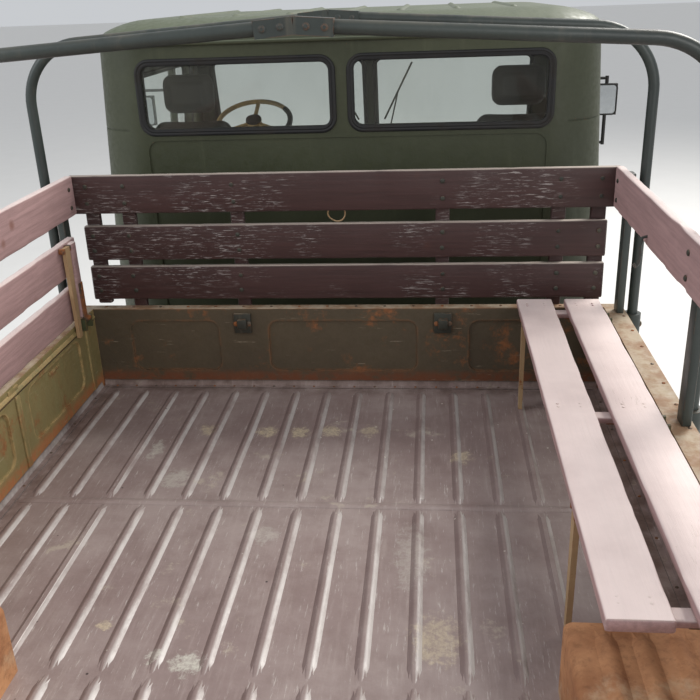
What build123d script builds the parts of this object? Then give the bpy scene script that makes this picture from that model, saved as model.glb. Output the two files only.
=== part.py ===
"""A light four-wheel-drive military cargo truck with a forward-tilting cab.

Millimetres. +X is the truck's right, +Y its front and +Z up. The origin is on
the ground, below the middle of the truck.
"""

from build123d import *

import os
from math import atan, cos, degrees, radians, sin, sqrt

# Overall sizes
WHEELBASE = 3300
REAR_OVERHANG = 1345
FRONT_OVERHANG = 1010
FRONT_TRACK = 1800
REAR_TRACK = 1750
RUNNING_GAP = 0.3
PANEL_GAP = 6

# Tyres and rims
TYRE_RADIUS = 540
TYRE_WIDTH = 310
TREAD_WIDTH = 244
LUG_DEPTH = 20
LUG_COUNT = 20
LUG_TIP_SHARE = 0.26
LUG_ROOT_SHARE = 0.36
BEAD_RADIUS = 236
RIM_WIDTH = 216
DISC_OFFSET = 22
DISC_THICKNESS = 12
HUB_RADIUS = 78
HUB_NOSE = 96
HAND_HOLES = 8
HAND_HOLE_PLACE = 186
HAND_HOLE_RADIUS = 21
DRUM_RADIUS = 188
DRUM_DEPTH = 95
SPINDLE_RADIUS = 42
FLANGE_OFFSET = 100

# Frame
RAIL_TOP = 860
RAIL_HEIGHT = 150
RAIL_FLANGE = 70
RAIL_THICKNESS = 8
FRAME_HALF_WIDTH = 415
RAIL_REAR_INSET = 160
BUMPER_HEIGHT = 185
BUMPER_BOTTOM = 560
BUMPER_DEPTH = 82
BUMPER_HALF_WIDTH = 1085
STEEL_PLATE = 8

# Axles and springs
HUB_HEIGHT = TYRE_RADIUS
AXLE_TUBE_RADIUS = 58
DIFFERENTIAL_RADIUS = 165
DIFFERENTIAL_X = 0
STEER_BALL_RADIUS = 88
KNUCKLE_WALL = 14
KNUCKLE_GAP = 5
KINGPIN_RADIUS = 18
SPRING_X = 410
SPRING_WIDTH = 70
SPRING_HALF_LENGTH = 580
SPRING_LEAF = 9
SPRING_LEAVES = 6
SPRING_ARCH = 34
SPRING_PAD = 14

# Load bed
FLOOR_TOP = 1085
FLOOR_THICKNESS = 35
BED_HALF_WIDTH = 1025
BED_WALL = 40
WALL_HEIGHT = 345
RIM_RAIL_WIDTH = 72
RIM_RAIL_HEIGHT = 30
TAILGATE_THICKNESS = 45
RIB_WIDTH = 28
RIB_HEIGHT = 6
RIB_PITCH = 127
PRESSING_DEPTH = 8
BEARER_HEIGHT = 90
BEARER_WIDTH = 60
WHEEL_BOX_INNER_X = 650
WHEEL_BOX_HEIGHT = 200
WHEEL_BOX_HALF_LENGTH = 380
WHEEL_BOX_WALL = 25
TYRE_CLEARANCE = 40
RIB_ROW_SPLITS = (870, 920)

# Boards, benches and bows
BOARD_THICKNESS = 30
BOARD_TOP = 890
BENCH_HINGE_X = BED_HALF_WIDTH - 25
BENCH_HINGE_HEIGHT = 350
BENCH_OFFSET = 25
SLAT_WIDTH = 131
SLAT_NEAR = 10
SLAT_FAR = 187
LEG_PIVOT = 302
LEG_PIVOT_OUT = 8
LEG_THICKNESS = 14
BOW_X = BED_HALF_WIDTH + 103
BOW_RADIUS = 19
BOW_CORNER_HEIGHT = 1360
BOW_RIDGE_HEIGHT = 1450
SLEEVE_LENGTH = 210
SLEEVE_SIZE = 46
BOW_PLACES = 5
BOWS_IN_PLACE = (0, 1)
SOCKET_RADIUS = 33
SOCKET_BOTTOM = 150
SOCKET_HEIGHT = 180

# Cab
CAB_SETBACK = 127.5
CAB_LENGTH = 1830
CAB_TO_BED = 322.5
CAB_HALF_WIDTH = 1080
CAB_WALL = 35
CAB_BOTTOM = 800
CAB_BELT = 1580
CAB_EAVES = 2420
CAB_LEAN_IN = 45
CAB_REAR_CORNER = 230
CAB_FRONT_CORNER = 150
SCREEN_SLOPE = 13
ARCH_RADIUS = 660
ARCH_WALL = 25
DOOR_SETBACK = 260
DOOR_LENGTH = 1110
DOOR_TOP = 2340
DOOR_LOW = 1040
DOOR_ARCH_GAP = 12
DOOR_HINGE_OUT = 12
DOOR_HINGES_Z = (1130, 1480)
DOOR_BARREL_HALF = 45
DOOR_BARREL_RADIUS = 9
DOOR_PIN_RADIUS = 5
HINGE_POST = 40
CAB_HINGE_Z = 830
CAB_HINGE_X = 445
TUNNEL_HALF_WIDTH = 400
TUNNEL_WALL = 25
TUNNEL_TOP = 1500
CAB_FLOOR_Z = 930
REAR_WINDOW_INNER = 36
REAR_WINDOW_OUTER = 824
REAR_WINDOW_BOTTOM = 2083
REAR_WINDOW_TOP = 2358
WINDOW_CORNER = 48
GASKET_WIDTH = 14
GLASS_THICKNESS = 6

# Places that follow from the sizes above
HALF_LENGTH = (REAR_OVERHANG + WHEELBASE + FRONT_OVERHANG) / 2
REAR_AXLE_Y = REAR_OVERHANG - HALF_LENGTH
FRONT_AXLE_Y = REAR_AXLE_Y + WHEELBASE
CAB_FRONT_Y = HALF_LENGTH - CAB_SETBACK
CAB_REAR_Y = CAB_FRONT_Y - CAB_LENGTH
DOOR_FRONT_Y = CAB_FRONT_Y - DOOR_SETBACK
DOOR_REAR_Y = DOOR_FRONT_Y - DOOR_LENGTH
BED_REAR_Y = TAILGATE_THICKNESS - HALF_LENGTH
BED_FRONT_Y = CAB_REAR_Y - CAB_TO_BED
BED_LENGTH = BED_FRONT_Y - BED_REAR_Y
BED_OUTER_X = BED_HALF_WIDTH + BED_WALL
WALL_TOP = FLOOR_TOP + WALL_HEIGHT
FLOOR_BOTTOM = FLOOR_TOP - FLOOR_THICKNESS
KINGPIN_X = FRONT_TRACK / 2 - FLANGE_OFFSET - STEER_BALL_RADIUS - KNUCKLE_WALL
RAIL_REAR_Y = RAIL_REAR_INSET - HALF_LENGTH
BUMPER_BACK_Y = HALF_LENGTH - BUMPER_DEPTH
CAB_HINGE_Y = CAB_FRONT_Y - CAB_WALL / 2
ARCH_OUTER = ARCH_RADIUS + ARCH_WALL
ENGINE_REAR_Y = FRONT_AXLE_Y - 487.5
ENGINE_FRONT_Y = FRONT_AXLE_Y + 362.5
RADIATOR_Y = CAB_FRONT_Y - 245
TRANSFER_CASE_Y = (REAR_AXLE_Y + FRONT_AXLE_Y) / 2 - 47.5
TANK_Y = CAB_REAR_Y - 660
TANK_LENGTH = 560
SILENCER_Y = REAR_AXLE_Y + 912.5
SIDES = (-1, 1)


def block(x0, x1, y0, y1, z0, z1):
    """A box between two opposite corners."""
    size = (abs(x1 - x0), abs(y1 - y0), abs(z1 - z0))
    return Pos((x0 + x1) / 2, (y0 + y1) / 2, (z0 + z1) / 2) * Box(*size)


def rod(start, end, radius):
    """A round bar between two points."""
    along = Vector(*end) - Vector(*start)
    base = Plane(origin=start, z_dir=along)
    return base * Cylinder(radius, along.length, align=(Align.CENTER, Align.CENTER, Align.MIN))


def side_block(side, x0, x1, y0, y1, z0, z1):
    """A box on one side of the truck, its x given outwards from the middle."""
    return block(side * x0, side * x1, y0, y1, z0, z1)


def fused(shapes):
    """One shape from a list of shapes."""
    shapes = list(shapes)
    total = shapes[0]
    for shape in shapes[1:]:
        total = total + shape
    return total


def save(node, *shapes):
    """Write the solids of one node to its STEP file."""
    solids = [solid for shape in shapes for solid in shape.solids()]
    whole = solids[0] if len(solids) == 1 else Compound(children=solids)
    export_step(whole, f"parts/{node}.step")


# Wheels

def tyre(centre_x, side, axle_y):
    """A tyre with two staggered rows of tread lugs, its axis along X."""
    root = TYRE_RADIUS - LUG_DEPTH
    half_tread = TREAD_WIDTH / 2
    # distance from the wheel's middle plane, radius
    bead = RIM_WIDTH / 2 - RUNNING_GAP
    carcass = [
        (bead, BEAD_RADIUS),
        (bead, BEAD_RADIUS + 24),
        (TYRE_WIDTH / 2 - 12, 300),
        (TYRE_WIDTH / 2, 385),
        (TYRE_WIDTH / 2 - 12, root - 40),
        (half_tread, root - 20),
    ]
    outline = carcass + [(-u, r) for u, r in reversed(carcass)]
    face = Plane.XY * make_face(Polyline(*outline, close=True))
    body = revolve(face, Axis.X)
    pitch = 360 / LUG_COUNT
    tip = TYRE_RADIUS / cos(radians((0.5 - LUG_TIP_SHARE) * pitch))
    rows = []
    for row, side_of_row in enumerate((-side, side)):
        points = []
        for lug in range(LUG_COUNT):
            middle = (lug + row / 2) * pitch
            # radius, share of the pitch from the lug's middle
            for radius, share in ((root - 4, -LUG_ROOT_SHARE), (tip, -LUG_TIP_SHARE), (tip, LUG_TIP_SHARE),
                                  (root - 4, LUG_ROOT_SHARE)):
                angle = radians(middle + share * pitch)
                points.append((radius * cos(angle), radius * sin(angle)))
        ring = make_face(Polyline(*points, close=True))
        ring -= Circle(root - 30)
        start = min(0, side_of_row * half_tread)
        rows.append(Plane.YZ.offset(start) * extrude(ring, half_tread))
    whole = fused([body] + rows)
    return Pos(centre_x, axle_y, HUB_HEIGHT) * whole


def rim(centre_x, side, axle_y):
    """A disc wheel with its hub and brake drum, open for the spindle."""
    half = RIM_WIDTH / 2
    inner = BEAD_RADIUS - 14
    disc_back = DISC_OFFSET - DISC_THICKNESS
    # distance outwards from the wheel's middle plane, radius
    outline = [
        (-half, BEAD_RADIUS + 18),
        (-half, BEAD_RADIUS - RUNNING_GAP),
        (half, BEAD_RADIUS - RUNNING_GAP),
        (half, BEAD_RADIUS + 18),
        (half + 12, BEAD_RADIUS + 18),
        (half + 12, inner),
        (disc_back + 50, inner),
        (DISC_OFFSET, 150),
        (DISC_OFFSET, HUB_RADIUS),
        (HUB_NOSE, HUB_RADIUS - 18),
        (HUB_NOSE, 0),
        (HUB_NOSE - 30, 0),
        (HUB_NOSE - 30, SPINDLE_RADIUS + RUNNING_GAP / 3),
        (disc_back - 86, SPINDLE_RADIUS + RUNNING_GAP / 3),
        (disc_back - 86, HUB_RADIUS),
        (disc_back - 12, HUB_RADIUS),
        (disc_back - 12, DRUM_RADIUS - 14),
        (disc_back - DRUM_DEPTH, DRUM_RADIUS - 14),
        (disc_back - DRUM_DEPTH, DRUM_RADIUS),
        (disc_back, DRUM_RADIUS),
        (disc_back, 150),
        (disc_back + 38, inner - 12),
        (-half - 12, inner - 12),
        (-half - 12, BEAD_RADIUS + 18),
    ]
    face = make_face(Polyline(*[(side * u, r) for u, r in outline], close=True))
    whole = revolve(face, Axis.X)
    for hole in range(HAND_HOLES):
        place = Rot(360 / HAND_HOLES * hole, 0, 0) * Pos(side * (disc_back + 44), HAND_HOLE_PLACE, 0)
        whole -= place * Rot(0, 90, 0) * Cylinder(HAND_HOLE_RADIUS, 80)
    return Pos(centre_x, axle_y, HUB_HEIGHT) * whole


# Axles, knuckles and springs

def leaf_spring(side, axle_y, axle_top):
    """A pack of arched leaves clamped on the axle, and its two frame brackets."""
    x0 = SPRING_X - SPRING_WIDTH / 2
    x1 = SPRING_X + SPRING_WIDTH / 2
    start = Plane(origin=(side * x0, axle_y, axle_top + SPRING_PAD), x_dir=(0, 1, 0), z_dir=(1, 0, 0))
    leaves = []
    for leaf in range(SPRING_LEAVES):
        half = SPRING_HALF_LENGTH * (1 - 0.15 * leaf)
        low = (SPRING_LEAVES - 1 - leaf) * SPRING_LEAF
        rise = SPRING_ARCH * (half / SPRING_HALF_LENGTH) ** 2
        under = ThreePointArc((-half, low + rise), (0, low), (half, low + rise))
        over = ThreePointArc((half, low + rise + SPRING_LEAF), (0, low + SPRING_LEAF), (-half, low + rise + SPRING_LEAF))
        ends = Line(under @ 1, over @ 0) + Line(over @ 1, under @ 0)
        leaves.append(start * extrude(make_face(under + over + ends), side * SPRING_WIDTH))
    pad = side_block(side, x0, x1, axle_y - 70, axle_y + 70, axle_top, axle_top + SPRING_PAD + 2)
    top = axle_top + SPRING_PAD + SPRING_LEAVES * SPRING_LEAF
    rail_bottom = RAIL_TOP - RAIL_HEIGHT
    brackets = []
    for end in SIDES:
        y = axle_y + end * (SPRING_HALF_LENGTH - 30)
        brackets.append(side_block(side, x0, FRAME_HALF_WIDTH, y - 30, y + 30, top + SPRING_ARCH * 0.8, rail_bottom))
    stop = side_block(side, SPRING_X - 30, FRAME_HALF_WIDTH, axle_y - 40, axle_y + 40, top - 4, top + 26)
    return fused([pad] + leaves + brackets + [stop])


def damper(side, axle_y, lower_z):
    """A telescopic damper between the axle and the frame."""
    x = side * (FRAME_HALF_WIDTH - RAIL_FLANGE - 30)
    lower = (x, axle_y + 95, lower_z)
    upper = (x, axle_y + 260, RAIL_TOP - 78)
    middle = (x, (lower[1] + upper[1]) / 2, (lower[2] + upper[2]) / 2)
    pin = rod(upper, (side * (FRAME_HALF_WIDTH - RAIL_THICKNESS), upper[1], upper[2]), 12)
    return rod(lower, middle, 26) + rod(middle, upper, 20) + pin


def round_bowl(radius, about):
    """A ball with plain turned facets, as a cast bowl has."""
    points = [(radius * sin(radians(turn)), -radius * cos(radians(turn))) for turn in range(0, 181, 15)]
    if about == "X":
        face = make_face(Polyline(*[(along, across) for across, along in points], close=True))
        return revolve(face, Axis.X)
    face = Plane.XZ * make_face(Polyline(*points, close=True))
    return revolve(face, Axis.Z)


def beam_axle(axle_y, tube_end_x):
    """The housing that the two axle types share, with its differential."""
    tube = rod((-tube_end_x, axle_y, HUB_HEIGHT), (tube_end_x, axle_y, HUB_HEIGHT), AXLE_TUBE_RADIUS)
    bowl = Pos(DIFFERENTIAL_X, axle_y, HUB_HEIGHT) * round_bowl(DIFFERENTIAL_RADIUS, "X")
    nose_turn = 1 if axle_y < 0 else -1
    nose_end = axle_y + nose_turn * (DIFFERENTIAL_RADIUS + 95)
    nose = rod((DIFFERENTIAL_X, axle_y, HUB_HEIGHT), (DIFFERENTIAL_X, nose_end, HUB_HEIGHT), 62)
    return tube + bowl + nose


def rear_axle():
    """The rear axle with the flanges and spindles that carry the wheels."""
    wheel_x = REAR_TRACK / 2
    flange_x = wheel_x - FLANGE_OFFSET
    shape = beam_axle(REAR_AXLE_Y, flange_x)
    for side in SIDES:
        shape += rod((side * (flange_x - 12), REAR_AXLE_Y, HUB_HEIGHT),
                     (side * flange_x, REAR_AXLE_Y, HUB_HEIGHT), DRUM_RADIUS - 12)
        shape += rod((side * flange_x, REAR_AXLE_Y, HUB_HEIGHT),
                     (side * (wheel_x + HUB_NOSE - 38), REAR_AXLE_Y, HUB_HEIGHT), SPINDLE_RADIUS)
    return shape


def front_axle():
    """The front axle, which ends in a ball at each steering knuckle."""
    shape = beam_axle(FRONT_AXLE_Y, KINGPIN_X)
    for side in SIDES:
        ball = Pos(side * KINGPIN_X, FRONT_AXLE_Y, HUB_HEIGHT) * round_bowl(STEER_BALL_RADIUS, "Z")
        hole = Pos(side * KINGPIN_X, FRONT_AXLE_Y, HUB_HEIGHT) * Cylinder(KINGPIN_RADIUS + RUNNING_GAP / 3, 400)
        shape = shape + ball - hole
    return shape


def knuckle(hand):
    """A steering knuckle: half a shell on the ball, its kingpins and the spindle."""
    side = -1
    wheel_x = FRONT_TRACK / 2
    flange_x = wheel_x - FLANGE_OFFSET
    inner = STEER_BALL_RADIUS + KNUCKLE_GAP
    outer = STEER_BALL_RADIUS + KNUCKLE_WALL + KNUCKLE_GAP
    centre = Pos(side * KINGPIN_X, FRONT_AXLE_Y, HUB_HEIGHT)
    shell = centre * (round_bowl(outer, "Z") - round_bowl(inner, "Z"))
    keep = side_block(side, KINGPIN_X + 14, KINGPIN_X + outer + 5,
                      FRONT_AXLE_Y - outer, FRONT_AXLE_Y + outer, HUB_HEIGHT - outer, HUB_HEIGHT + outer)
    shape = shell & keep
    for end in SIDES:
        ear = Pos(side * (KINGPIN_X + 12), FRONT_AXLE_Y, HUB_HEIGHT + end * (inner + 14)) * Box(110, 70, 24)
        pin = rod((side * KINGPIN_X, FRONT_AXLE_Y, HUB_HEIGHT + end * 50),
                  (side * KINGPIN_X, FRONT_AXLE_Y, HUB_HEIGHT + end * (inner + 26)), KINGPIN_RADIUS)
        shape += ear + pin
    shape += rod((side * (flange_x - 12), FRONT_AXLE_Y, HUB_HEIGHT),
                 (side * flange_x, FRONT_AXLE_Y, HUB_HEIGHT), DRUM_RADIUS - 12)
    shape += rod((side * flange_x, FRONT_AXLE_Y, HUB_HEIGHT),
                 (side * (wheel_x + HUB_NOSE - 38), FRONT_AXLE_Y, HUB_HEIGHT), SPINDLE_RADIUS)
    return shape if hand == side else mirror(shape, about=Plane.YZ)


# Frame and drive line

def frame_rail(side):
    """A channel-section side rail, open towards the middle."""
    outer = side_block(side, FRAME_HALF_WIDTH - RAIL_FLANGE, FRAME_HALF_WIDTH,
                       RAIL_REAR_Y, BUMPER_BACK_Y, RAIL_TOP - RAIL_HEIGHT, RAIL_TOP)
    hollow = side_block(side, FRAME_HALF_WIDTH - RAIL_FLANGE - 1, FRAME_HALF_WIDTH - RAIL_THICKNESS,
                        RAIL_REAR_Y - 1, BUMPER_BACK_Y + 1,
                        RAIL_TOP - RAIL_HEIGHT + RAIL_THICKNESS, RAIL_TOP - RAIL_THICKNESS)
    return outer - hollow


def crossmembers():
    """The frame's crossmembers, the cab's rear rest and its hinge brackets."""
    half = FRAME_HALF_WIDTH - RAIL_THICKNESS
    low = RAIL_TOP - RAIL_HEIGHT + RAIL_THICKNESS
    high = RAIL_TOP - RAIL_THICKNESS
    shapes = []
    places = (RAIL_REAR_Y + 30, REAR_AXLE_Y - TYRE_RADIUS, REAR_AXLE_Y + TYRE_RADIUS + TYRE_CLEARANCE,
              TRANSFER_CASE_Y, CAB_REAR_Y - 130, RADIATOR_Y)
    for y in places:
        shapes.append(block(-half, half, y - 30, y + 30, low, high))
    rest_y = CAB_REAR_Y + CAB_WALL + 30
    posts = [side_block(side, FRAME_HALF_WIDTH - RAIL_FLANGE, FRAME_HALF_WIDTH,
                        rest_y - 15, rest_y + 15, RAIL_TOP, CAB_FLOOR_Z + 40 - RUNNING_GAP) for side in SIDES]
    beam = block(-FRAME_HALF_WIDTH, FRAME_HALF_WIDTH, rest_y - 15, rest_y + 15,
                 CAB_FLOOR_Z + 10, CAB_FLOOR_Z + 40 - RUNNING_GAP)
    shapes.append(fused(posts) + beam)
    for side in SIDES:
        plate = side_block(side, FRAME_HALF_WIDTH, CAB_HINGE_X - 12, CAB_HINGE_Y - 45, CAB_HINGE_Y + 30,
                           CAB_HINGE_Z - 90, CAB_HINGE_Z + 24)
        pin = rod((side * FRAME_HALF_WIDTH, CAB_HINGE_Y, CAB_HINGE_Z),
                  (side * (CAB_HINGE_X + 50), CAB_HINGE_Y, CAB_HINGE_Z), 12)
        shapes.append(plate + pin)
    return shapes


def front_bumper():
    """A channel bumper with raked ends and two towing eyes."""
    half = BUMPER_HALF_WIDTH
    y0 = BUMPER_BACK_Y
    y1 = HALF_LENGTH
    outline = Polyline((-half, y0 - 60), (-half, y0), (-half + 110, y1), (half - 110, y1), (half, y0),
                       (half, y0 - 60), (half - STEEL_PLATE, y0 - 60), (half - STEEL_PLATE, y0),
                       (half - 112, y1 - STEEL_PLATE), (-half + 112, y1 - STEEL_PLATE),
                       (-half + STEEL_PLATE, y0), (-half + STEEL_PLATE, y0 - 60), close=True)
    skin = Pos(0, 0, BUMPER_BOTTOM) * extrude(make_face(outline), BUMPER_HEIGHT)
    backing = block(-half + 120, half - 120, y0, y1 - STEEL_PLATE, BUMPER_BOTTOM, BUMPER_BOTTOM + STEEL_PLATE)
    backing += block(-half + 120, half - 120, y0, y1 - STEEL_PLATE,
                     BUMPER_BOTTOM + BUMPER_HEIGHT - STEEL_PLATE, BUMPER_BOTTOM + BUMPER_HEIGHT)
    shape = skin + backing
    for side in SIDES:
        shape += side_block(side, FRAME_HALF_WIDTH - RAIL_FLANGE, FRAME_HALF_WIDTH, y0, y1 - STEEL_PLATE,
                            BUMPER_BOTTOM, BUMPER_BOTTOM + BUMPER_HEIGHT)
    return shape


def tow_eyes():
    """Two front towing eyes above the bumper, bolted to the rails."""
    eyes = []
    for side in SIDES:
        x = FRAME_HALF_WIDTH - RAIL_FLANGE / 2
        z = BUMPER_BOTTOM + BUMPER_HEIGHT + 30
        plate = side_block(side, x - 12, x + 12, BUMPER_BACK_Y, HALF_LENGTH - 20, z - 30, z + 30)
        hole = rod((side * (x - 30), HALF_LENGTH - 52, z), (side * (x + 30), HALF_LENGTH - 52, z), 15)
        eyes.append(plate - hole)
    return eyes


def tow_coupling():
    """The rear pintle on the frame's last crossmember."""
    y = RAIL_REAR_Y
    plate = block(-90, 90, y - 12, y, RAIL_TOP - RAIL_HEIGHT + 20, RAIL_TOP - 20)
    z = RAIL_TOP - RAIL_HEIGHT / 2
    shank = rod((0, y - 12, z), (0, y - 40, z), 27)
    jaw = Pos(0, y - 62, z) * (Cylinder(46, 60) - Cylinder(24, 60))
    return plate + shank + jaw - Pos(0, y - 62, z) * Cylinder(24, 80)


def engine():
    """The engine as one plain block, and the radiator in front of it."""
    motor = block(-290, 290, ENGINE_REAR_Y, ENGINE_FRONT_Y, 800, 1390)
    radiator = block(-330, 330, RADIATOR_Y - 35, RADIATOR_Y + 35, RAIL_TOP - RAIL_THICKNESS + RUNNING_GAP, 1400)
    fan_shaft = rod((0, ENGINE_FRONT_Y, 1110), (0, RADIATOR_Y - 35, 1110), 30)
    feet = [side_block(side, 250, FRAME_HALF_WIDTH - RAIL_THICKNESS, y - 30, y + 30, 800, RAIL_TOP - RAIL_THICKNESS)
            for side in SIDES for y in (ENGINE_REAR_Y + 70, ENGINE_FRONT_Y - 30)]
    return fused([motor, radiator, fan_shaft] + feet)


def drive_line():
    """Gearbox, transfer case and the three propeller shafts."""
    gearbox_rear = ENGINE_REAR_Y - 310
    gearbox = block(-150, 150, gearbox_rear, ENGINE_REAR_Y - RUNNING_GAP, 650, 1000)
    case_front = TRANSFER_CASE_Y + 160
    case_rear = TRANSFER_CASE_Y - 160
    case_z = 600
    case = block(-190, 190, case_rear, case_front, 540, RAIL_TOP - RAIL_HEIGHT + RAIL_THICKNESS)
    front_nose = FRONT_AXLE_Y - DIFFERENTIAL_RADIUS - 95 - RUNNING_GAP
    rear_nose = REAR_AXLE_Y + DIFFERENTIAL_RADIUS + 95 + RUNNING_GAP
    yoke = 55
    shapes = [gearbox]
    # first end's y and z, second end's y and z
    for y0, z0, y1, z1 in ((case_front, case_z, front_nose, HUB_HEIGHT), (case_rear, case_z, rear_nose, HUB_HEIGHT)):
        turn = 1 if y1 > y0 else -1
        shaft = rod((0, y0 + turn * yoke / 2, z0), (0, y1 - turn * yoke / 2, z1), 30)
        shaft += rod((0, y0, z0), (0, y0 + turn * yoke, z0), 44)
        shaft += rod((0, y1 - turn * yoke, z1), (0, y1, z1), 44)
        case += shaft
    case += rod((0, case_front, 690), (0, gearbox_rear - RUNNING_GAP, 690), 22)
    shapes.append(case)
    return shapes


def fuel_tanks():
    """Two tanks hung outside the rails behind the cab."""
    tanks = []
    for side in SIDES:
        middle_x = side * (FRAME_HALF_WIDTH + 215)
        body = Pos(middle_x, TANK_Y, 745) * Box(400, TANK_LENGTH, 300)
        body = fillet(body.edges().filter_by(Axis.Y), 50)
        strap_x = FRAME_HALF_WIDTH
        bracket = [side_block(side, strap_x, strap_x + 60, y - 20, y + 20, 700, RAIL_TOP - 10)
                   for y in (TANK_Y - 150, TANK_Y + 150)]
        tanks.append(fused([body] + bracket))
    return tanks


def exhaust():
    """Silencer with its inlet and tail pipe."""
    x = -560
    z = 720
    front = SILENCER_Y + 250
    rear = SILENCER_Y - 250
    silencer = rod((x, rear, z), (x, front, z), 90)
    silencer = fillet(silencer.edges(), 20)
    inlet = rod((x, front, z), (x, front + 200, z), 26)
    tail = rod((x, rear - 110, z), (x, rear, z), 26)
    hangers = [block(x - 40, x + 40, y - 15, y + 15, z, FLOOR_BOTTOM - BEARER_HEIGHT) for y in (front - 80, rear + 60)]
    return fused([silencer, inlet, tail] + hangers)


# Load bed

def pressed_rib(y0, y1, width, height):
    """A pressed rib along Y on z = 0, its sides and both its ends sloping."""
    slope = 5 * height
    section = Plane(origin=(0, y1, 0), x_dir=(1, 0, 0), z_dir=(0, -1, 0)) * make_face(
        Polyline((-width / 2, 0), (-width / 4, height), (width / 4, height), (width / 2, 0), close=True))
    profile = Plane.YZ * make_face(
        Polyline((y0, 0), (y0 + slope, height), (y1 - slope, height), (y1, 0), close=True))
    return extrude(section, y1 - y0) & extrude(profile, width, both=True)


def bed_floor():
    """The ribbed steel floor, open over the rear wheels, on its bearers."""
    floor = block(-BED_OUTER_X, BED_OUTER_X, BED_REAR_Y, BED_FRONT_Y + BED_WALL, FLOOR_BOTTOM, FLOOR_TOP)
    for side in SIDES:
        floor -= side_block(side, WHEEL_BOX_INNER_X + WHEEL_BOX_WALL, BED_OUTER_X + 1,
                            REAR_AXLE_Y - WHEEL_BOX_HALF_LENGTH + WHEEL_BOX_WALL,
                            REAR_AXLE_Y + WHEEL_BOX_HALF_LENGTH - WHEEL_BOX_WALL, FLOOR_BOTTOM - 1, FLOOR_TOP + 1)
    # first and last y of each row of ribs, and the x beyond which it has none
    rows = [
        (BED_FRONT_Y - RIB_ROW_SPLITS[0], BED_FRONT_Y - 60, BED_HALF_WIDTH),
        (REAR_AXLE_Y + WHEEL_BOX_HALF_LENGTH + 20, BED_FRONT_Y - RIB_ROW_SPLITS[1], BED_HALF_WIDTH),
        (REAR_AXLE_Y - WHEEL_BOX_HALF_LENGTH - 20, REAR_AXLE_Y + WHEEL_BOX_HALF_LENGTH - 20, WHEEL_BOX_INNER_X),
        (BED_REAR_Y + 40, REAR_AXLE_Y - WHEEL_BOX_HALF_LENGTH - 60, BED_HALF_WIDTH),
    ]
    ribs = []
    for y0, y1, reach in rows:
        rib = pressed_rib(y0, y1, RIB_WIDTH, RIB_HEIGHT)
        for place in range(16):
            x = (place - 7.5) * RIB_PITCH
            if abs(x) + RIB_WIDTH < reach:
                ribs.append(Pos(x, 0, FLOOR_TOP) * rib)
    for x in TAILGATE_HINGES:
        for ear_x in (x - 66, x + 66):
            ear = rod((ear_x - 5, TAILGATE_AXIS_Y, TAILGATE_AXIS_Z), (ear_x + 5, TAILGATE_AXIS_Y, TAILGATE_AXIS_Z), 12)
            ear += block(ear_x - 5, ear_x + 5, TAILGATE_AXIS_Y, BED_REAR_Y, TAILGATE_AXIS_Z - 12, TAILGATE_AXIS_Z + 12)
            ribs.append(ear)
        ribs.append(rod((x - 66, TAILGATE_AXIS_Y, TAILGATE_AXIS_Z), (x + 66, TAILGATE_AXIS_Y, TAILGATE_AXIS_Z), 7))
    return floor.fuse(*[solid for rib in ribs for solid in rib.solids()])


def bed_bearers():
    """The crossbearers under the floor and the long sills on the frame."""
    sill_low = RAIL_TOP
    bearer_low = FLOOR_BOTTOM - BEARER_HEIGHT
    sills = [side_block(side, FRAME_HALF_WIDTH - RAIL_FLANGE, FRAME_HALF_WIDTH, BED_REAR_Y + 60, BED_FRONT_Y,
                        sill_low, bearer_low) for side in SIDES]
    # y of the bearer's middle, half its length
    table = [
        (BED_REAR_Y + 85, BED_OUTER_X),
        (REAR_AXLE_Y - TYRE_RADIUS - TYRE_CLEARANCE, BED_OUTER_X),
        (REAR_AXLE_Y - 180, WHEEL_BOX_INNER_X),
        (REAR_AXLE_Y + 180, WHEEL_BOX_INNER_X),
        (REAR_AXLE_Y + TYRE_RADIUS + TYRE_CLEARANCE, BED_OUTER_X),
        (BED_FRONT_Y - 950, BED_OUTER_X),
        (BED_FRONT_Y - 530, BED_OUTER_X),
        (BED_FRONT_Y - 30, BED_OUTER_X),
    ]
    bearers = [block(-half, half, y - BEARER_WIDTH / 2, y + BEARER_WIDTH / 2, bearer_low, FLOOR_BOTTOM)
               for y, half in table]
    return fused(sills + bearers)


def wheel_boxes():
    """The boxes over the rear wheels, open below."""
    boxes = []
    for side in SIDES:
        y0 = REAR_AXLE_Y - WHEEL_BOX_HALF_LENGTH
        y1 = REAR_AXLE_Y + WHEEL_BOX_HALF_LENGTH
        top = FLOOR_TOP + WHEEL_BOX_HEIGHT
        outer = side_block(side, WHEEL_BOX_INNER_X, BED_HALF_WIDTH, y0, y1, FLOOR_TOP, top)
        hollow = side_block(side, WHEEL_BOX_INNER_X + WHEEL_BOX_WALL, BED_HALF_WIDTH + 1,
                            y0 + WHEEL_BOX_WALL, y1 - WHEEL_BOX_WALL, FLOOR_TOP - 1, top - WHEEL_BOX_WALL)
        outer = fillet(outer.edges().filter_by(Axis.Y).group_by(Axis.Z)[-1].group_by(Axis.X)[0 if side > 0 else -1], 22)
        shape = outer - hollow
        for rib in range(4):
            x = side * (WHEEL_BOX_INNER_X + 80 + rib * 78)
            shape += Pos(x, 0, top) * pressed_rib(y0 + 22, y1 - 22, 36, 8)
        boxes.append(shape)
    return boxes


def pressing(x0, x1, z0, z1, radius, depth):
    """A rounded rectangular pressing drawn in X and Z, centred on y = 0."""
    flat = Plane.XZ * RectangleRounded(x1 - x0, z1 - z0, radius)
    return Pos((x0 + x1) / 2, 0, (z0 + z1) / 2) * extrude(flat, depth / 2, both=True)


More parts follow.
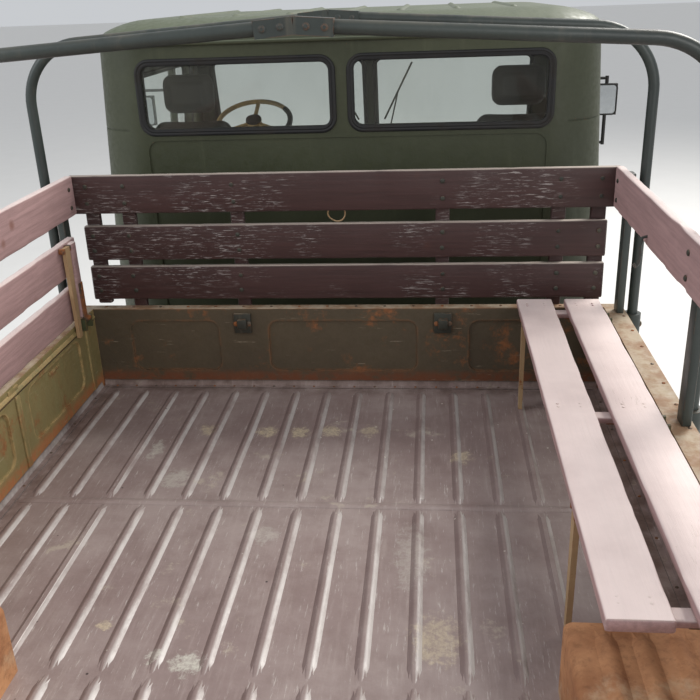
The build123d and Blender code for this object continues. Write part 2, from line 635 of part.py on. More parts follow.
def bed_front_wall():
    """The front board of pressed steel with three shallow pressings."""
    wall = block(-BED_OUTER_X, BED_OUTER_X, BED_FRONT_Y, BED_FRONT_Y + BED_WALL, FLOOR_TOP, WALL_TOP)
    for x0, x1 in ((-876, -507), (-301, 301), (507, 876)):
        wall -= Pos(0, BED_FRONT_Y, FLOOR_TOP) * pressing(x0, x1, 72, 291, 40, 2 * PRESSING_DEPTH)
    return wall


def bed_side_wall(side):
    """A side board of pressed steel with its rim rail, pressings and bow sockets."""
    y0 = BED_REAR_Y
    y1 = BED_FRONT_Y + BED_WALL
    wall = side_block(side, BED_HALF_WIDTH, BED_OUTER_X, y0, BED_FRONT_Y, FLOOR_TOP, WALL_TOP)
    wall += side_block(side, BED_OUTER_X, BED_HALF_WIDTH + RIM_RAIL_WIDTH, y0, y1, WALL_TOP - RIM_RAIL_HEIGHT, WALL_TOP)
    wall += side_block(side, BED_OUTER_X, BED_OUTER_X + 14, y0, y1, FLOOR_BOTTOM, FLOOR_TOP + 30)
    for panel in range(5):
        y = BED_FRONT_Y - 416 - panel * 624
        length = 470
        flat = Plane.YZ * RectangleRounded(length, 200, 40)
        for face_x in (BED_HALF_WIDTH, ):
            cut = Pos(side * face_x, y, FLOOR_TOP + 182) * extrude(flat, PRESSING_DEPTH, both=True)
            wall -= cut
    return wall


def bench_hinges(side):
    """The pairs of ears on the side wall, each with the pin that a bench turns on."""
    hinge_z = FLOOR_TOP + BENCH_HINGE_HEIGHT
    hinges = []
    for place in BENCHES:
        for y in batten_places(place):
            ears = [side_block(side, BENCH_HINGE_X - 8, BED_HALF_WIDTH, ear_y - 5, ear_y + 5, hinge_z - 40, hinge_z + 8)
                    for ear_y in (y - 28, y + 28)]
            pin = rod((side * BENCH_HINGE_X, y - 28, hinge_z), (side * BENCH_HINGE_X, y + 28, hinge_z),
                      HINGE_PIN_RADIUS)
            hinges.append(fused(ears + [pin]))
    return hinges


def bow_socket(side, place):
    """A tube socket on the outside of the side wall, seated on the rim rail."""
    y = bow_y(place)
    z0 = FLOOR_TOP + SOCKET_BOTTOM
    tube = Pos(side * BOW_X, y, z0 + SOCKET_HEIGHT / 2) * Cylinder(SOCKET_RADIUS, SOCKET_HEIGHT)
    web = side_block(side, BED_OUTER_X, BOW_X, y - SOCKET_RADIUS, y + SOCKET_RADIUS, z0 + 20, z0 + SOCKET_HEIGHT - 20)
    bore = Pos(side * BOW_X, y, z0 + SOCKET_HEIGHT / 2 + 8) * Cylinder(BOW_RADIUS + 1, SOCKET_HEIGHT)
    seat = side_block(side, BED_OUTER_X, BED_HALF_WIDTH + RIM_RAIL_WIDTH, y - 50, y + 50,
                      WALL_TOP - RIM_RAIL_HEIGHT, WALL_TOP)
    return tube + web - bore - seat


def bow_y(place):
    """The y of one of the five bow sockets, counted from the front."""
    return BED_FRONT_Y - 20 - place * (BED_LENGTH - 40) / (BOW_PLACES - 1)


def bow(place):
    """A bent tube bow from socket to socket, slightly peaked, with its sleeve."""
    y = bow_y(place)
    foot = FLOOR_TOP + SOCKET_BOTTOM + 8 + RUNNING_GAP
    eaves = FLOOR_TOP + BOW_CORNER_HEIGHT
    ridge = FLOOR_TOP + BOW_RIDGE_HEIGHT - BOW_RADIUS
    path = FilletPolyline((-BOW_X, y, foot), (-BOW_X, y, eaves), (0, y, ridge), (BOW_X, y, eaves), (BOW_X, y, foot),
                          radius=220)
    start = Plane(origin=(-BOW_X, y, foot), z_dir=(0, 0, 1))
    tube = sweep(start * Circle(BOW_RADIUS), path)
    slope = (BOW_RIDGE_HEIGHT - BOW_CORNER_HEIGHT) / BOW_X
    for side in SIDES:
        middle = Pos(side * SLEEVE_LENGTH / 4, y, ridge - slope * SLEEVE_LENGTH / 4)
        tube += middle * Rot(0, side * degrees(atan(slope)), 0) * Box(SLEEVE_LENGTH / 2, SLEEVE_SIZE, SLEEVE_SIZE)
    return tube


def front_boards():
    """Three wooden boards on four posts behind the cab, and their end battens."""
    y0 = BED_FRONT_Y + 10
    y1 = y0 + BOARD_THICKNESS
    shapes = []
    # half length, low and high z above the floor
    for half, low, high in ((1015, 381, 521), (1015, 547, 687), (1050, 736, 886)):
        shapes.append(block(-half, half, y0, y1, FLOOR_TOP + low, FLOOR_TOP + high))
    for x in (-836, -400, 400, 836):
        shapes.append(block(x - 27, x + 27, BED_FRONT_Y + BED_WALL, BED_FRONT_Y + BED_WALL + 28,
                            FLOOR_TOP + 95, FLOOR_TOP + BOARD_TOP - 20))
    for side in SIDES:
        shapes.append(side_block(side, 955, 1012, y1, y1 + 28, WALL_TOP + 10, FLOOR_TOP + BOARD_TOP - 20))
    return fused(shapes)


def side_boards(side):
    """The fixed top slat of one side and the posts that stand on the rim rail."""
    x0 = BED_HALF_WIDTH + 2
    x1 = x0 + BOARD_THICKNESS
    shapes = [side_block(side, x0, x1, BED_REAR_Y + 8, BED_FRONT_Y, FLOOR_TOP + BOARD_TOP - 150, FLOOR_TOP + BOARD_TOP)]
    for y in (BED_FRONT_Y - 45, BED_FRONT_Y - 967.5, REAR_AXLE_Y + 132.5, REAR_AXLE_Y - 567.5, BED_REAR_Y + 45):
        shapes.append(side_block(side, x1, x1 + 28, y - 27, y + 27, WALL_TOP, FLOOR_TOP + BOARD_TOP - 15))
    return fused(shapes)


# distance of each bench's front and rear end behind the bed's front wall, then
# for each leg its distance behind that wall and the height of what it stands on
BENCHES = {
    "front": (70, 1885, ((200, 0), (1450, 0))),
    "rear": (1915, 3290, ((2045, WHEEL_BOX_HEIGHT + 2), (3160, 0))),
}
HINGE_PIN_RADIUS = 5
LEG_PIN_RADIUS = 6


def bench(side, place):
    """Two slats on three battens, standing up on their hinge."""
    near, far, legs = BENCHES[place]
    y1 = BED_FRONT_Y - near
    y0 = BED_FRONT_Y - far
    z = FLOOR_TOP + BENCH_HINGE_HEIGHT
    slat_x = BENCH_HINGE_X + BENCH_OFFSET
    shapes = [side_block(side, slat_x, slat_x + BOARD_THICKNESS, y0, y1, z + low, z + low + SLAT_WIDTH)
              for low in (SLAT_NEAR, SLAT_FAR)]
    holes = []
    for y in batten_places(place):
        shapes.append(side_block(side, BENCH_HINGE_X + 5, slat_x, y - 22, y + 22, z, z + SLAT_FAR + SLAT_WIDTH - 6))
        shapes.append(rod((side * BENCH_HINGE_X, y - 22, z), (side * BENCH_HINGE_X, y + 22, z), 10))
        holes.append(rod((side * BENCH_HINGE_X, y - 30, z), (side * BENCH_HINGE_X, y + 30, z),
                         HINGE_PIN_RADIUS + RUNNING_GAP / 3))
    pivot_x = side * (BENCH_HINGE_X + LEG_PIVOT_OUT)
    for back, support in legs:
        y = BED_FRONT_Y - back
        for ear_y in (y - 27, y + 27):
            shapes.append(side_block(side, BENCH_HINGE_X + LEG_PIVOT_OUT - 8, slat_x, ear_y - 5, ear_y + 5,
                                     z + LEG_PIVOT - 10, z + LEG_PIVOT + 10))
        shapes.append(rod((pivot_x, y - 27, z + LEG_PIVOT), (pivot_x, y + 27, z + LEG_PIVOT), LEG_PIN_RADIUS))
    return fused(shapes) - fused(holes)


def batten_places(place):
    """The y of the three battens of a bench."""
    near, far, legs = BENCHES[place]
    return (BED_FRONT_Y - near - 60, BED_FRONT_Y - (near + far) / 2, BED_FRONT_Y - far + 60)


def bench_leg(side, place):
    """The two hanging legs of a bench, tapered strips that stay upright."""
    near, far, legs = BENCHES[place]
    x = BENCH_HINGE_X + LEG_PIVOT_OUT
    pivot_z = FLOOR_TOP + BENCH_HINGE_HEIGHT + LEG_PIVOT
    strips = []
    for back, support in legs:
        y = BED_FRONT_Y - back
        length = BENCH_HINGE_HEIGHT + LEG_PIVOT_OUT - support - RIB_HEIGHT - RUNNING_GAP
        outline = Polyline((y - 20, pivot_z + 9), (y + 20, pivot_z + 9), (y + 20, pivot_z - 40),
                           (y + 12, pivot_z - length), (y - 12, pivot_z - length), (y - 20, pivot_z - 40), close=True)
        start = Plane(origin=(side * x - LEG_THICKNESS / 2, 0, 0), x_dir=(0, 1, 0), z_dir=(1, 0, 0))
        strip = start * extrude(make_face(outline), LEG_THICKNESS)
        strips.append(strip - rod((side * x, y - 30, pivot_z), (side * x, y + 30, pivot_z), LEG_PIN_RADIUS + RUNNING_GAP / 3))
    return strips


TAILGATE_HINGES = (-800, 0, 800)
TAILGATE_AXIS_Y = 15 - HALF_LENGTH
TAILGATE_AXIS_Z = FLOOR_TOP - 17


def tailgate():
    """The drop tailgate with its hinge knuckles and pressings."""
    y0 = -HALF_LENGTH
    y1 = BED_REAR_Y - RUNNING_GAP
    gate = block(-BED_OUTER_X, BED_OUTER_X, y0, y1, FLOOR_TOP + 4, WALL_TOP)
    for x0, x1 in ((-876, -507), (-301, 301), (507, 876)):
        gate -= Pos(0, y1, FLOOR_TOP) * pressing(x0, x1, 72, 291, 40, 2 * PRESSING_DEPTH)
    for x in TAILGATE_HINGES:
        barrel = rod((x - 60, TAILGATE_AXIS_Y, TAILGATE_AXIS_Z), (x + 60, TAILGATE_AXIS_Y, TAILGATE_AXIS_Z), 12)
        barrel += block(x - 60, x + 60, TAILGATE_AXIS_Y - 10, TAILGATE_AXIS_Y + 10, TAILGATE_AXIS_Z, FLOOR_TOP + 10)
        barrel -= rod((x - 70, TAILGATE_AXIS_Y, TAILGATE_AXIS_Z), (x + 70, TAILGATE_AXIS_Y, TAILGATE_AXIS_Z),
                      7 + RUNNING_GAP / 3)
        gate += barrel
    return gate


def mudguards():
    """Rubber flaps behind the rear wheels."""
    y = REAR_AXLE_Y - TYRE_RADIUS - TYRE_CLEARANCE - BEARER_WIDTH / 2
    return [side_block(side, 720, 1010, y - 8, y, 520, FLOOR_BOTTOM) for side in SIDES]


def tail_lamps():
    """Two lamp boxes under the rear corners of the bed."""
    lamps = []
    for side in SIDES:
        low = FLOOR_BOTTOM - BEARER_HEIGHT
        hanger = side_block(side, 850, 900, BED_REAR_Y + 32, BED_REAR_Y + 55, low - 40, low + 60)
        body = side_block(side, 800, 960, BED_REAR_Y + 2, BED_REAR_Y + 32, low - 60, low + 40)
        lamps.append(hanger + body)
    return lamps


# Cab

def cab_plan(inset, lean=0):
    """The cab's outline from above, its corners rounded, set in by a wall and leaning in."""
    width = 2 * (CAB_HALF_WIDTH - inset - lean)
    depth = CAB_FRONT_Y - CAB_REAR_Y - 2 * inset
    flat = Pos(0, (CAB_FRONT_Y + CAB_REAR_Y) / 2) * Rectangle(width, depth)
    corners = flat.vertices().group_by(Axis.Y)
    flat = fillet(corners[0], CAB_REAR_CORNER - inset)
    corners = flat.vertices().group_by(Axis.Y)
    return fillet(corners[-1], CAB_FRONT_CORNER - inset)


def cab_solid(inset):
    """The cab's body up to the eaves: upright below the belt, leaning in above it."""
    plan = cab_plan(inset)
    lower = Pos(0, 0, CAB_BOTTOM) * extrude(plan, CAB_BELT - CAB_BOTTOM)
    upper = loft([Pos(0, 0, CAB_BELT) * plan, Pos(0, 0, CAB_EAVES) * cab_plan(inset, CAB_LEAN_IN)], ruled=True)
    slope = Plane(origin=(0, CAB_FRONT_Y - inset, CAB_BELT), x_dir=(1, 0, 0),
                  z_dir=(0, cos(radians(SCREEN_SLOPE)), sin(radians(SCREEN_SLOPE))))
    cutter = slope * Pos(0, 0, 400) * Box(3000, 3000, 800)
    keep_low = block(-2000, 2000, 0, 4000, 0, CAB_BELT)
    return lower + upper - (cutter - keep_low)


def side_wall_x(z):
    """How far out the cab's side wall stands at a height."""
    return CAB_HALF_WIDTH - CAB_LEAN_IN * max(0, z - CAB_BELT) / (CAB_EAVES - CAB_BELT)


def screen_plane():
    """The windscreen's outer face, its local Y running up the glass."""
    slope = radians(SCREEN_SLOPE)
    return Plane(origin=(0, CAB_FRONT_Y, CAB_BELT), x_dir=(-1, 0, 0), z_dir=(0, cos(slope), sin(slope)))


def cab_shell():
    """The wall of the cab, open above and below, with its wheel arches."""
    shell = cab_solid(0) - cab_solid(CAB_WALL)
    shell -= rod((-1200, FRONT_AXLE_Y, HUB_HEIGHT), (1200, FRONT_AXLE_Y, HUB_HEIGHT), ARCH_RADIUS)
    return shell


def window_hole(plane, x0, x1, y0, y1, radius, depth):
    """A rounded window hole through a wall, drawn on the wall's plane."""
    flat = Pos((x0 + x1) / 2, (y0 + y1) / 2) * RectangleRounded(x1 - x0, y1 - y0, radius)
    return plane * extrude(flat, depth, both=True)


def door_zone(side, gap):
    """The space that a door takes from the cab's side, less a gap all round."""
    zone = side_block(side, 800, 1100, DOOR_REAR_Y + gap, DOOR_FRONT_Y - gap, DOOR_LOW + gap, DOOR_TOP - gap)
    arch_radius = ARCH_OUTER + DOOR_ARCH_GAP if gap else ARCH_OUTER
    arch = rod((-1200, FRONT_AXLE_Y, HUB_HEIGHT), (1200, FRONT_AXLE_Y, HUB_HEIGHT), arch_radius)
    return zone - arch


REAR_SPLIT_Y = DOOR_REAR_Y - 200
BACK_PANEL_HALF_WIDTH = 815
BACK_PANEL_BOTTOM = 1150
BACK_PANEL_TOP = 2050
SEAM_Z = 2094
FRONT_SPLIT_Y = DOOR_FRONT_Y + HINGE_POST
LOWER_NOTCH_Z = 900
REAR_SKIRT_Z = 900
SCREEN_INNER = 30
SCREEN_OUTER = 930
SCREEN_LOW = 60
SCREEN_HIGH = 690
LAMP_X = 700
LAMP_Z = 1130
LAMP_RADIUS = 112
GRILLE_HALF_WIDTH = 420
GRILLE_BOTTOM = 960
GRILLE_TOP = 1330


def rear_window_holes(grow):
    """Both rear window holes, grown by an amount all round."""
    wall = Plane(origin=(0, CAB_REAR_Y, 0), x_dir=(1, 0, 0), z_dir=(0, -1, 0))
    return [window_hole(wall, min(side * (REAR_WINDOW_INNER - grow), side * (REAR_WINDOW_OUTER + grow)),
                        max(side * (REAR_WINDOW_INNER - grow), side * (REAR_WINDOW_OUTER + grow)),
                        REAR_WINDOW_BOTTOM - grow, REAR_WINDOW_TOP + grow, WINDOW_CORNER + grow, 150)
            for side in SIDES]


def screen_holes(grow):
    """Both windscreen holes, grown by an amount all round."""
    return [window_hole(screen_plane(), min(side * (SCREEN_INNER - grow), side * (SCREEN_OUTER + grow)),
                        max(side * (SCREEN_INNER - grow), side * (SCREEN_OUTER + grow)),
                        SCREEN_LOW - grow, SCREEN_HIGH + grow, WINDOW_CORNER + grow, 80)
            for side in SIDES]


def grille_hole():
    """The rounded opening that the grille fills."""
    front = Plane(origin=(0, CAB_FRONT_Y, 0), x_dir=(-1, 0, 0), z_dir=(0, 1, 0))
    return window_hole(front, -GRILLE_HALF_WIDTH, GRILLE_HALF_WIDTH, GRILLE_BOTTOM, GRILLE_TOP, 60, 60)


def corner_seams():
    """The shallow groove round both rear corners of the cab, level with the windows' lower edge."""
    skin = cab_solid(0) - cab_solid(4)
    seams = [skin & side_block(side, REAR_WINDOW_OUTER + 70, 1200, CAB_REAR_Y - 50, DOOR_REAR_Y, SEAM_Z - 4, SEAM_Z + 4)
             for side in SIDES]
    return fused(seams)


def cab_rear_wall(shell):
    """The cab's back with its round corners, two windows and a pressed panel."""
    wall = shell & block(-1100, 1100, CAB_REAR_Y - 50, REAR_SPLIT_Y, REAR_SKIRT_Z, CAB_EAVES)
    for hole in rear_window_holes(0):
        wall -= hole
    wall -= Pos(0, CAB_REAR_Y, 0) * pressing(-BACK_PANEL_HALF_WIDTH, BACK_PANEL_HALF_WIDTH, BACK_PANEL_BOTTOM,
                                             BACK_PANEL_TOP, WINDOW_CORNER, 10)
    return wall - corner_seams()


def cab_front_panel(shell):
    """The front with its corner posts, screen frame, grille opening and lamp bowls."""
    panel = shell & block(-1100, 1100, FRONT_SPLIT_Y, CAB_FRONT_Y + 50, CAB_BOTTOM, CAB_EAVES)
    for hole in screen_holes(0):
        panel -= hole
    panel -= grille_hole()
    for side in SIDES:
        panel -= rod((side * LAMP_X, CAB_FRONT_Y - 60, LAMP_Z), (side * LAMP_X, CAB_FRONT_Y + 60, LAMP_Z), LAMP_RADIUS)
    reach = FRAME_HALF_WIDTH + 120
    panel -= block(-reach, reach, FRONT_SPLIT_Y, CAB_FRONT_Y + 50, CAB_BOTTOM - 10, LOWER_NOTCH_Z)
    return panel


def cab_side_frames(shell):
    """The side behind the door, the rail above it and the wheel arch's lip."""
    frames = []
    for side in SIDES:
        frame = shell & side_block(side, 600, 1100, REAR_SPLIT_Y, FRONT_SPLIT_Y, CAB_BOTTOM, CAB_EAVES)
        frame -= door_zone(side, 0)
        frame -= side_block(side, 600, 1100, REAR_SPLIT_Y - 1, FRONT_AXLE_Y - 300, CAB_BOTTOM - 1, REAR_SKIRT_Z)
        hinge_x = CAB_HALF_WIDTH + DOOR_HINGE_OUT
        for z in DOOR_HINGES_Z:
            reach = DOOR_BARREL_HALF + 12
            frame += rod((side * hinge_x, DOOR_FRONT_Y, z - reach), (side * hinge_x, DOOR_FRONT_Y, z + reach),
                         DOOR_PIN_RADIUS)
            for low, high in ((-reach, -DOOR_BARREL_HALF - RUNNING_GAP), (DOOR_BARREL_HALF + RUNNING_GAP, reach)):
                frame += side_block(side, CAB_HALF_WIDTH - 4, hinge_x + DOOR_BARREL_RADIUS,
                                    DOOR_FRONT_Y, FRONT_SPLIT_Y, z + low, z + high)
                frame += rod((side * hinge_x, DOOR_FRONT_Y, z + low), (side * hinge_x, DOOR_FRONT_Y, z + high),
                             DOOR_BARREL_RADIUS)
        frames.append(frame)
    return frames


def door(shell, side):
    """A door cut from the cab's side, with its window hole, hinges and handle."""
    skin = shell & side_block(side, 600, 1100, REAR_SPLIT_Y, FRONT_SPLIT_Y, CAB_BOTTOM, CAB_EAVES)
    panel = skin & door_zone(side, PANEL_GAP)
    panel -= door_window(side, 0) - window_post(side)
    hinge_x = CAB_HALF_WIDTH + DOOR_HINGE_OUT
    for z in DOOR_HINGES_Z:
        low = (side * hinge_x, DOOR_FRONT_Y, z - DOOR_BARREL_HALF)
        high = (side * hinge_x, DOOR_FRONT_Y, z + DOOR_BARREL_HALF)
        panel += side_block(side, CAB_HALF_WIDTH - 4, hinge_x + 3, DOOR_FRONT_Y - 90, DOOR_FRONT_Y - 4, z - 28, z + 28)
        panel += rod(low, high, DOOR_BARREL_RADIUS)
        panel -= rod(low, high, DOOR_PIN_RADIUS + RUNNING_GAP / 3)
    panel += side_block(side, CAB_HALF_WIDTH - 2, CAB_HALF_WIDTH + 30, DOOR_REAR_Y + 60, DOOR_REAR_Y + 190, 1455, 1480)
    return panel


DOOR_WINDOW = (DOOR_REAR_Y + 90, DOOR_FRONT_Y - 90, CAB_BELT + 40, DOOR_TOP - 75)
QUARTER_LIGHT = 290
WINDOW_POST = 28


def door_window(side, shrink):
    """The hole for the door's glass."""
    y0, y1, z0, z1 = DOOR_WINDOW
    flat = Plane.YZ * RectangleRounded(y1 - y0 - 2 * shrink, z1 - z0 - 2 * shrink, 60 - shrink)
    return Pos(side * (CAB_HALF_WIDTH - CAB_WALL), (y0 + y1) / 2, (z0 + z1) / 2) * extrude(flat, 120, both=True)


def window_post(side):
    """The zone of the upright post that parts the door's quarter light from its main window."""
    y0, y1, z0, z1 = DOOR_WINDOW
    return side_block(side, 600, 1200, y1 - QUARTER_LIGHT - WINDOW_POST, y1 - QUARTER_LIGHT, z0, z1)


def door_glass(side):
    """The door's pane, filling its hole, set in the wall's middle."""
    y0, y1, z0, z1 = DOOR_WINDOW
    pane_inner = cab_solid(CAB_WALL / 2 + GLASS_THICKNESS / 2)
    pane_outer = cab_solid(CAB_WALL / 2 - GLASS_THICKNESS / 2)
    zone = door_window(side, 0) & side_block(side, 600, 1200, y0, y1, z0, z1)
    return (pane_outer - pane_inner) & (zone - window_post(side))


# height of each band of the roof's rounded edge, its slope from upright
ROOF_BANDS = ((28, 14), (34, 50), (22, 70), (14, 80))
ROOF_LINING_BANDS = ((28, 14), (30, 50), (12, 70))
ROOF_RIB_PITCH = 229


def domed(outline, bands):
    """A low dome over an outline, built up from ever flatter bands."""
    dome = None
    face = outline
    for height, slope in bands:
        band = extrude(face, height, taper=slope)
        dome = band if dome is None else dome + band
        face = band.faces().sort_by(Axis.Z)[-1]
    return dome


def cab_roof():
    """The ribbed roof pan with its rounded edge and its drip rail."""
    outline = cab_solid(0).faces().sort_by(Axis.Z)[-1]
    lining = cab_solid(CAB_WALL).faces().sort_by(Axis.Z)[-1]
    roof = domed(outline, ROOF_BANDS)
    top = roof.bounding_box().max.Z
    drip = extrude(offset(outline, 14), 14)
    reach = roof.faces().sort_by(Axis.Z)[-1].bounding_box()
    rib = pressed_rib(reach.min.Y + 30, reach.max.Y - 30, 26, 6)
    ribs = [Pos(place * ROOF_RIB_PITCH, 0, top) * rib for place in range(-3, 4)]
    return fused([roof, drip] + ribs) - domed(lining, ROOF_LINING_BANDS)


def cab_floor():
    """The footwells, the wheel houses and the floor behind them, with the hinge lugs."""
    inner = CAB_HALF_WIDTH - CAB_WALL
    shapes = []
    arch_y = FRONT_AXLE_Y
    for side in SIDES:
        ring = rod((side * TUNNEL_HALF_WIDTH, arch_y, HUB_HEIGHT), (side * inner, arch_y, HUB_HEIGHT), ARCH_OUTER)
        ring -= rod((side * 300, arch_y, HUB_HEIGHT), (side * 1100, arch_y, HUB_HEIGHT), ARCH_RADIUS)
        ring = ring & side_block(side, TUNNEL_HALF_WIDTH, inner, arch_y - 800, arch_y + 800, RAIL_TOP + 15, 1400)
        footwell_y = arch_y + sqrt(ARCH_RADIUS ** 2 - (CAB_FLOOR_Z - HUB_HEIGHT) ** 2)
        footwell = side_block(side, TUNNEL_HALF_WIDTH, inner, footwell_y, CAB_FRONT_Y - CAB_WALL,
                              CAB_FLOOR_Z - 25, CAB_FLOOR_Z)
        tail_z = CAB_FLOOR_Z + 40
        tail_y = arch_y - sqrt(ARCH_RADIUS ** 2 - (tail_z - HUB_HEIGHT) ** 2)
        tail = side_block(side, TUNNEL_HALF_WIDTH, inner, CAB_REAR_Y + CAB_WALL, tail_y, tail_z, tail_z + 25)
        lug = side_block(side, CAB_HINGE_X, CAB_HINGE_X + 30, CAB_HINGE_Y - 50, CAB_FRONT_Y - CAB_WALL, CAB_HINGE_Z - 20,
                         CAB_FLOOR_Z - 10)
        lug += rod((side * CAB_HINGE_X, CAB_HINGE_Y, CAB_HINGE_Z), (side * (CAB_HINGE_X + 30), CAB_HINGE_Y, CAB_HINGE_Z), 26)
        eye = rod((side * (CAB_HINGE_X - 5), CAB_HINGE_Y, CAB_HINGE_Z),
                  (side * (CAB_HINGE_X + 60), CAB_HINGE_Y, CAB_HINGE_Z), 12 + RUNNING_GAP / 3)
        shapes.append(ring + footwell + tail + lug - eye)
    tail_z = CAB_FLOOR_Z + 40
    corner_keep = cab_solid(CAB_WALL)
    strip = block(-TUNNEL_HALF_WIDTH - 50, TUNNEL_HALF_WIDTH + 50, CAB_REAR_Y + CAB_WALL, CAB_REAR_Y + 90, tail_z, tail_z + 25)
    whole = fused(shapes + [strip])
    below = block(-1100, 1100, 0, 3000, 700, CAB_FLOOR_Z - 25)
    return whole & (corner_keep + below)


def engine_cover():
    """The housing over the engine between the seats, open below and in front."""
    y0 = CAB_REAR_Y + 90
    y1 = CAB_FRONT_Y - CAB_WALL
    outer = block(-TUNNEL_HALF_WIDTH, TUNNEL_HALF_WIDTH, y0, y1, CAB_FLOOR_Z - 25, TUNNEL_TOP)
    outer = chamfer(outer.edges().filter_by(Axis.Y).group_by(Axis.Z)[-1], 60)
    half = TUNNEL_HALF_WIDTH - TUNNEL_WALL
    hollow = block(-half, half, y0 + TUNNEL_WALL, y1 + 1, CAB_FLOOR_Z - 26, TUNNEL_TOP - TUNNEL_WALL)
    hollow = chamfer(hollow.edges().filter_by(Axis.Y).group_by(Axis.Z)[-1], 50)
    return outer - hollow


def dashboard():
    """The instrument panel under the windscreen."""
    half = CAB_HALF_WIDTH - CAB_WALL - 6
    y0 = DOOR_FRONT_Y
    y1 = CAB_FRONT_Y - CAB_WALL
    outline = Polyline((y0, 1510), (y0 + 20, 1500), (y1, 1500), (y1, CAB_BELT), (y0 + 60, CAB_BELT + 60), (y0, 1600), close=True)
    start = Plane(origin=(-half, 0, 0), x_dir=(0, 1, 0), z_dir=(1, 0, 0))
    panel = start * extrude(make_face(outline), 2 * half)
    return panel & cab_solid(CAB_WALL)


WHEEL_CENTRE = (-612, DOOR_FRONT_Y - 340, 1955)
WHEEL_TILT = 26
STEERING_RADIUS = 200
STEERING_RIM = 13


def steering_axis():
    """The direction from the steering wheel down its column."""
    tilt = radians(WHEEL_TILT)
    return Vector(0, sin(tilt), -cos(tilt))


def steering_wheel():
    """The rim, three spokes and hub of the steering wheel."""
    plane = Plane(origin=WHEEL_CENTRE, x_dir=(1, 0, 0), z_dir=-steering_axis())
    section = Plane.XZ * Pos(STEERING_RADIUS, 0) * RegularPolygon(STEERING_RIM, 8)
    ring = revolve(section, Axis.Z)
    hub = Cylinder(42, 36)
    spokes = [Rot(0, 0, angle) * Pos(STEERING_RADIUS / 2, 0, 0) * Box(STEERING_RADIUS - 10, 20, 10)
              for angle in (90, 210, 330)]
    return plane * fused([ring, hub] + spokes)


def steering_column():
    """The column from the footwell up to the wheel, with its floor plate."""
    axis = steering_axis()
    hub = Vector(*WHEEL_CENTRE)
    top = hub + axis * (18 + RUNNING_GAP)
    length = (top.Z - CAB_FLOOR_Z - 30) / -axis.Z
    bottom = top + axis * length
    tube = rod(tuple(top), tuple(bottom), 22)
    box = block(bottom.X - 60, bottom.X + 60, bottom.Y - 25, bottom.Y + 75, CAB_FLOOR_Z, CAB_FLOOR_Z + 60)
    return tube + box


SEAT_X = 735
SEAT_HALF_WIDTH = 215
SEAT_TOP = 1430
SEAT_BACK_TOP = 2110
HEADREST_TOP = 2292
SEAT_REAR_Y = DOOR_REAR_Y - 115


def seat_frames():
    """The pedestals on the wheel houses and the frames of the seat backs."""
    frames = []
    for side in SIDES:
        base_z = HUB_HEIGHT + ARCH_OUTER
        front_y = FRONT_AXLE_Y + 12.5
        base = side_block(side, SEAT_X - 180, SEAT_X + 180, SEAT_REAR_Y + 185, front_y, base_z, SEAT_TOP - 130)
        back = side_block(side, SEAT_X - 190, SEAT_X + 190, SEAT_REAR_Y, SEAT_REAR_Y + 20, SEAT_TOP - 130,
                          SEAT_BACK_TOP - 60)
        pan = side_block(side, SEAT_X - 190, SEAT_X + 190, SEAT_REAR_Y, front_y, SEAT_TOP - 142, SEAT_TOP - 130)
        frames.append(base + pan + back)
    return frames


def seat_cushions():
    """Seat cushions, back cushions and headrests as plain soft blocks."""
    soft = []
    for side in SIDES:
        x0 = SEAT_X - SEAT_HALF_WIDTH
        x1 = SEAT_X + SEAT_HALF_WIDTH
        rear = SEAT_REAR_Y + 20 + RUNNING_GAP
        seat = side_block(side, x0, x1, rear + 135, FRONT_AXLE_Y + 42.5, SEAT_TOP - 130 + RUNNING_GAP, SEAT_TOP)
        back = side_block(side, x0, x1, rear, rear + 130, SEAT_TOP - 120, SEAT_BACK_TOP)
        head = side_block(side, SEAT_X - 130, SEAT_X + 130, rear, rear + 100, SEAT_BACK_TOP - 20, HEADREST_TOP)
        soft.append(fillet(seat.edges().filter_by(Axis.Z), 45))
        back = fillet(back.edges().filter_by(Axis.Y).group_by(Axis.Z)[-1], 70)
        soft.append(back + fillet(head.edges().filter_by(Axis.Y).group_by(Axis.Z)[-1], 60))
    return soft


def gaskets():
    """Rubber window seals standing proud of the wall, in and out."""
    rings = []
    rear = Plane(origin=(0, CAB_REAR_Y, 0), x_dir=(1, 0, 0), z_dir=(0, -1, 0))
    screen = screen_plane()
    table = [
        (rear, REAR_WINDOW_INNER, REAR_WINDOW_OUTER, REAR_WINDOW_BOTTOM, REAR_WINDOW_TOP),
        (screen, SCREEN_INNER, SCREEN_OUTER, SCREEN_LOW, SCREEN_HIGH),
    ]
    for plane, inner, outer, low, high in table:
        for side in SIDES:
            middle = Pos(side * (inner + outer) / 2, (low + high) / 2)
            width = outer - inner
            height = high - low
            lip = RectangleRounded(width + 2 * GASKET_WIDTH, height + 2 * GASKET_WIDTH, WINDOW_CORNER + GASKET_WIDTH)
            lip -= RectangleRounded(width - 2 * GASKET_WIDTH, height - 2 * GASKET_WIDTH, WINDOW_CORNER - GASKET_WIDTH)
            rings.append(plane * middle * extrude(lip, 8))
    return rings


def window_panes(inner, outer, low, high, plane):
    """A pair of flat panes set in the middle of the wall."""
    panes = []
    for side in SIDES:
        flat = Pos(side * (inner + outer) / 2, (low + high) / 2) * RectangleRounded(outer - inner, high - low, WINDOW_CORNER)
        panes.append(plane.offset(-10) * extrude(flat, GLASS_THICKNESS))
    return panes


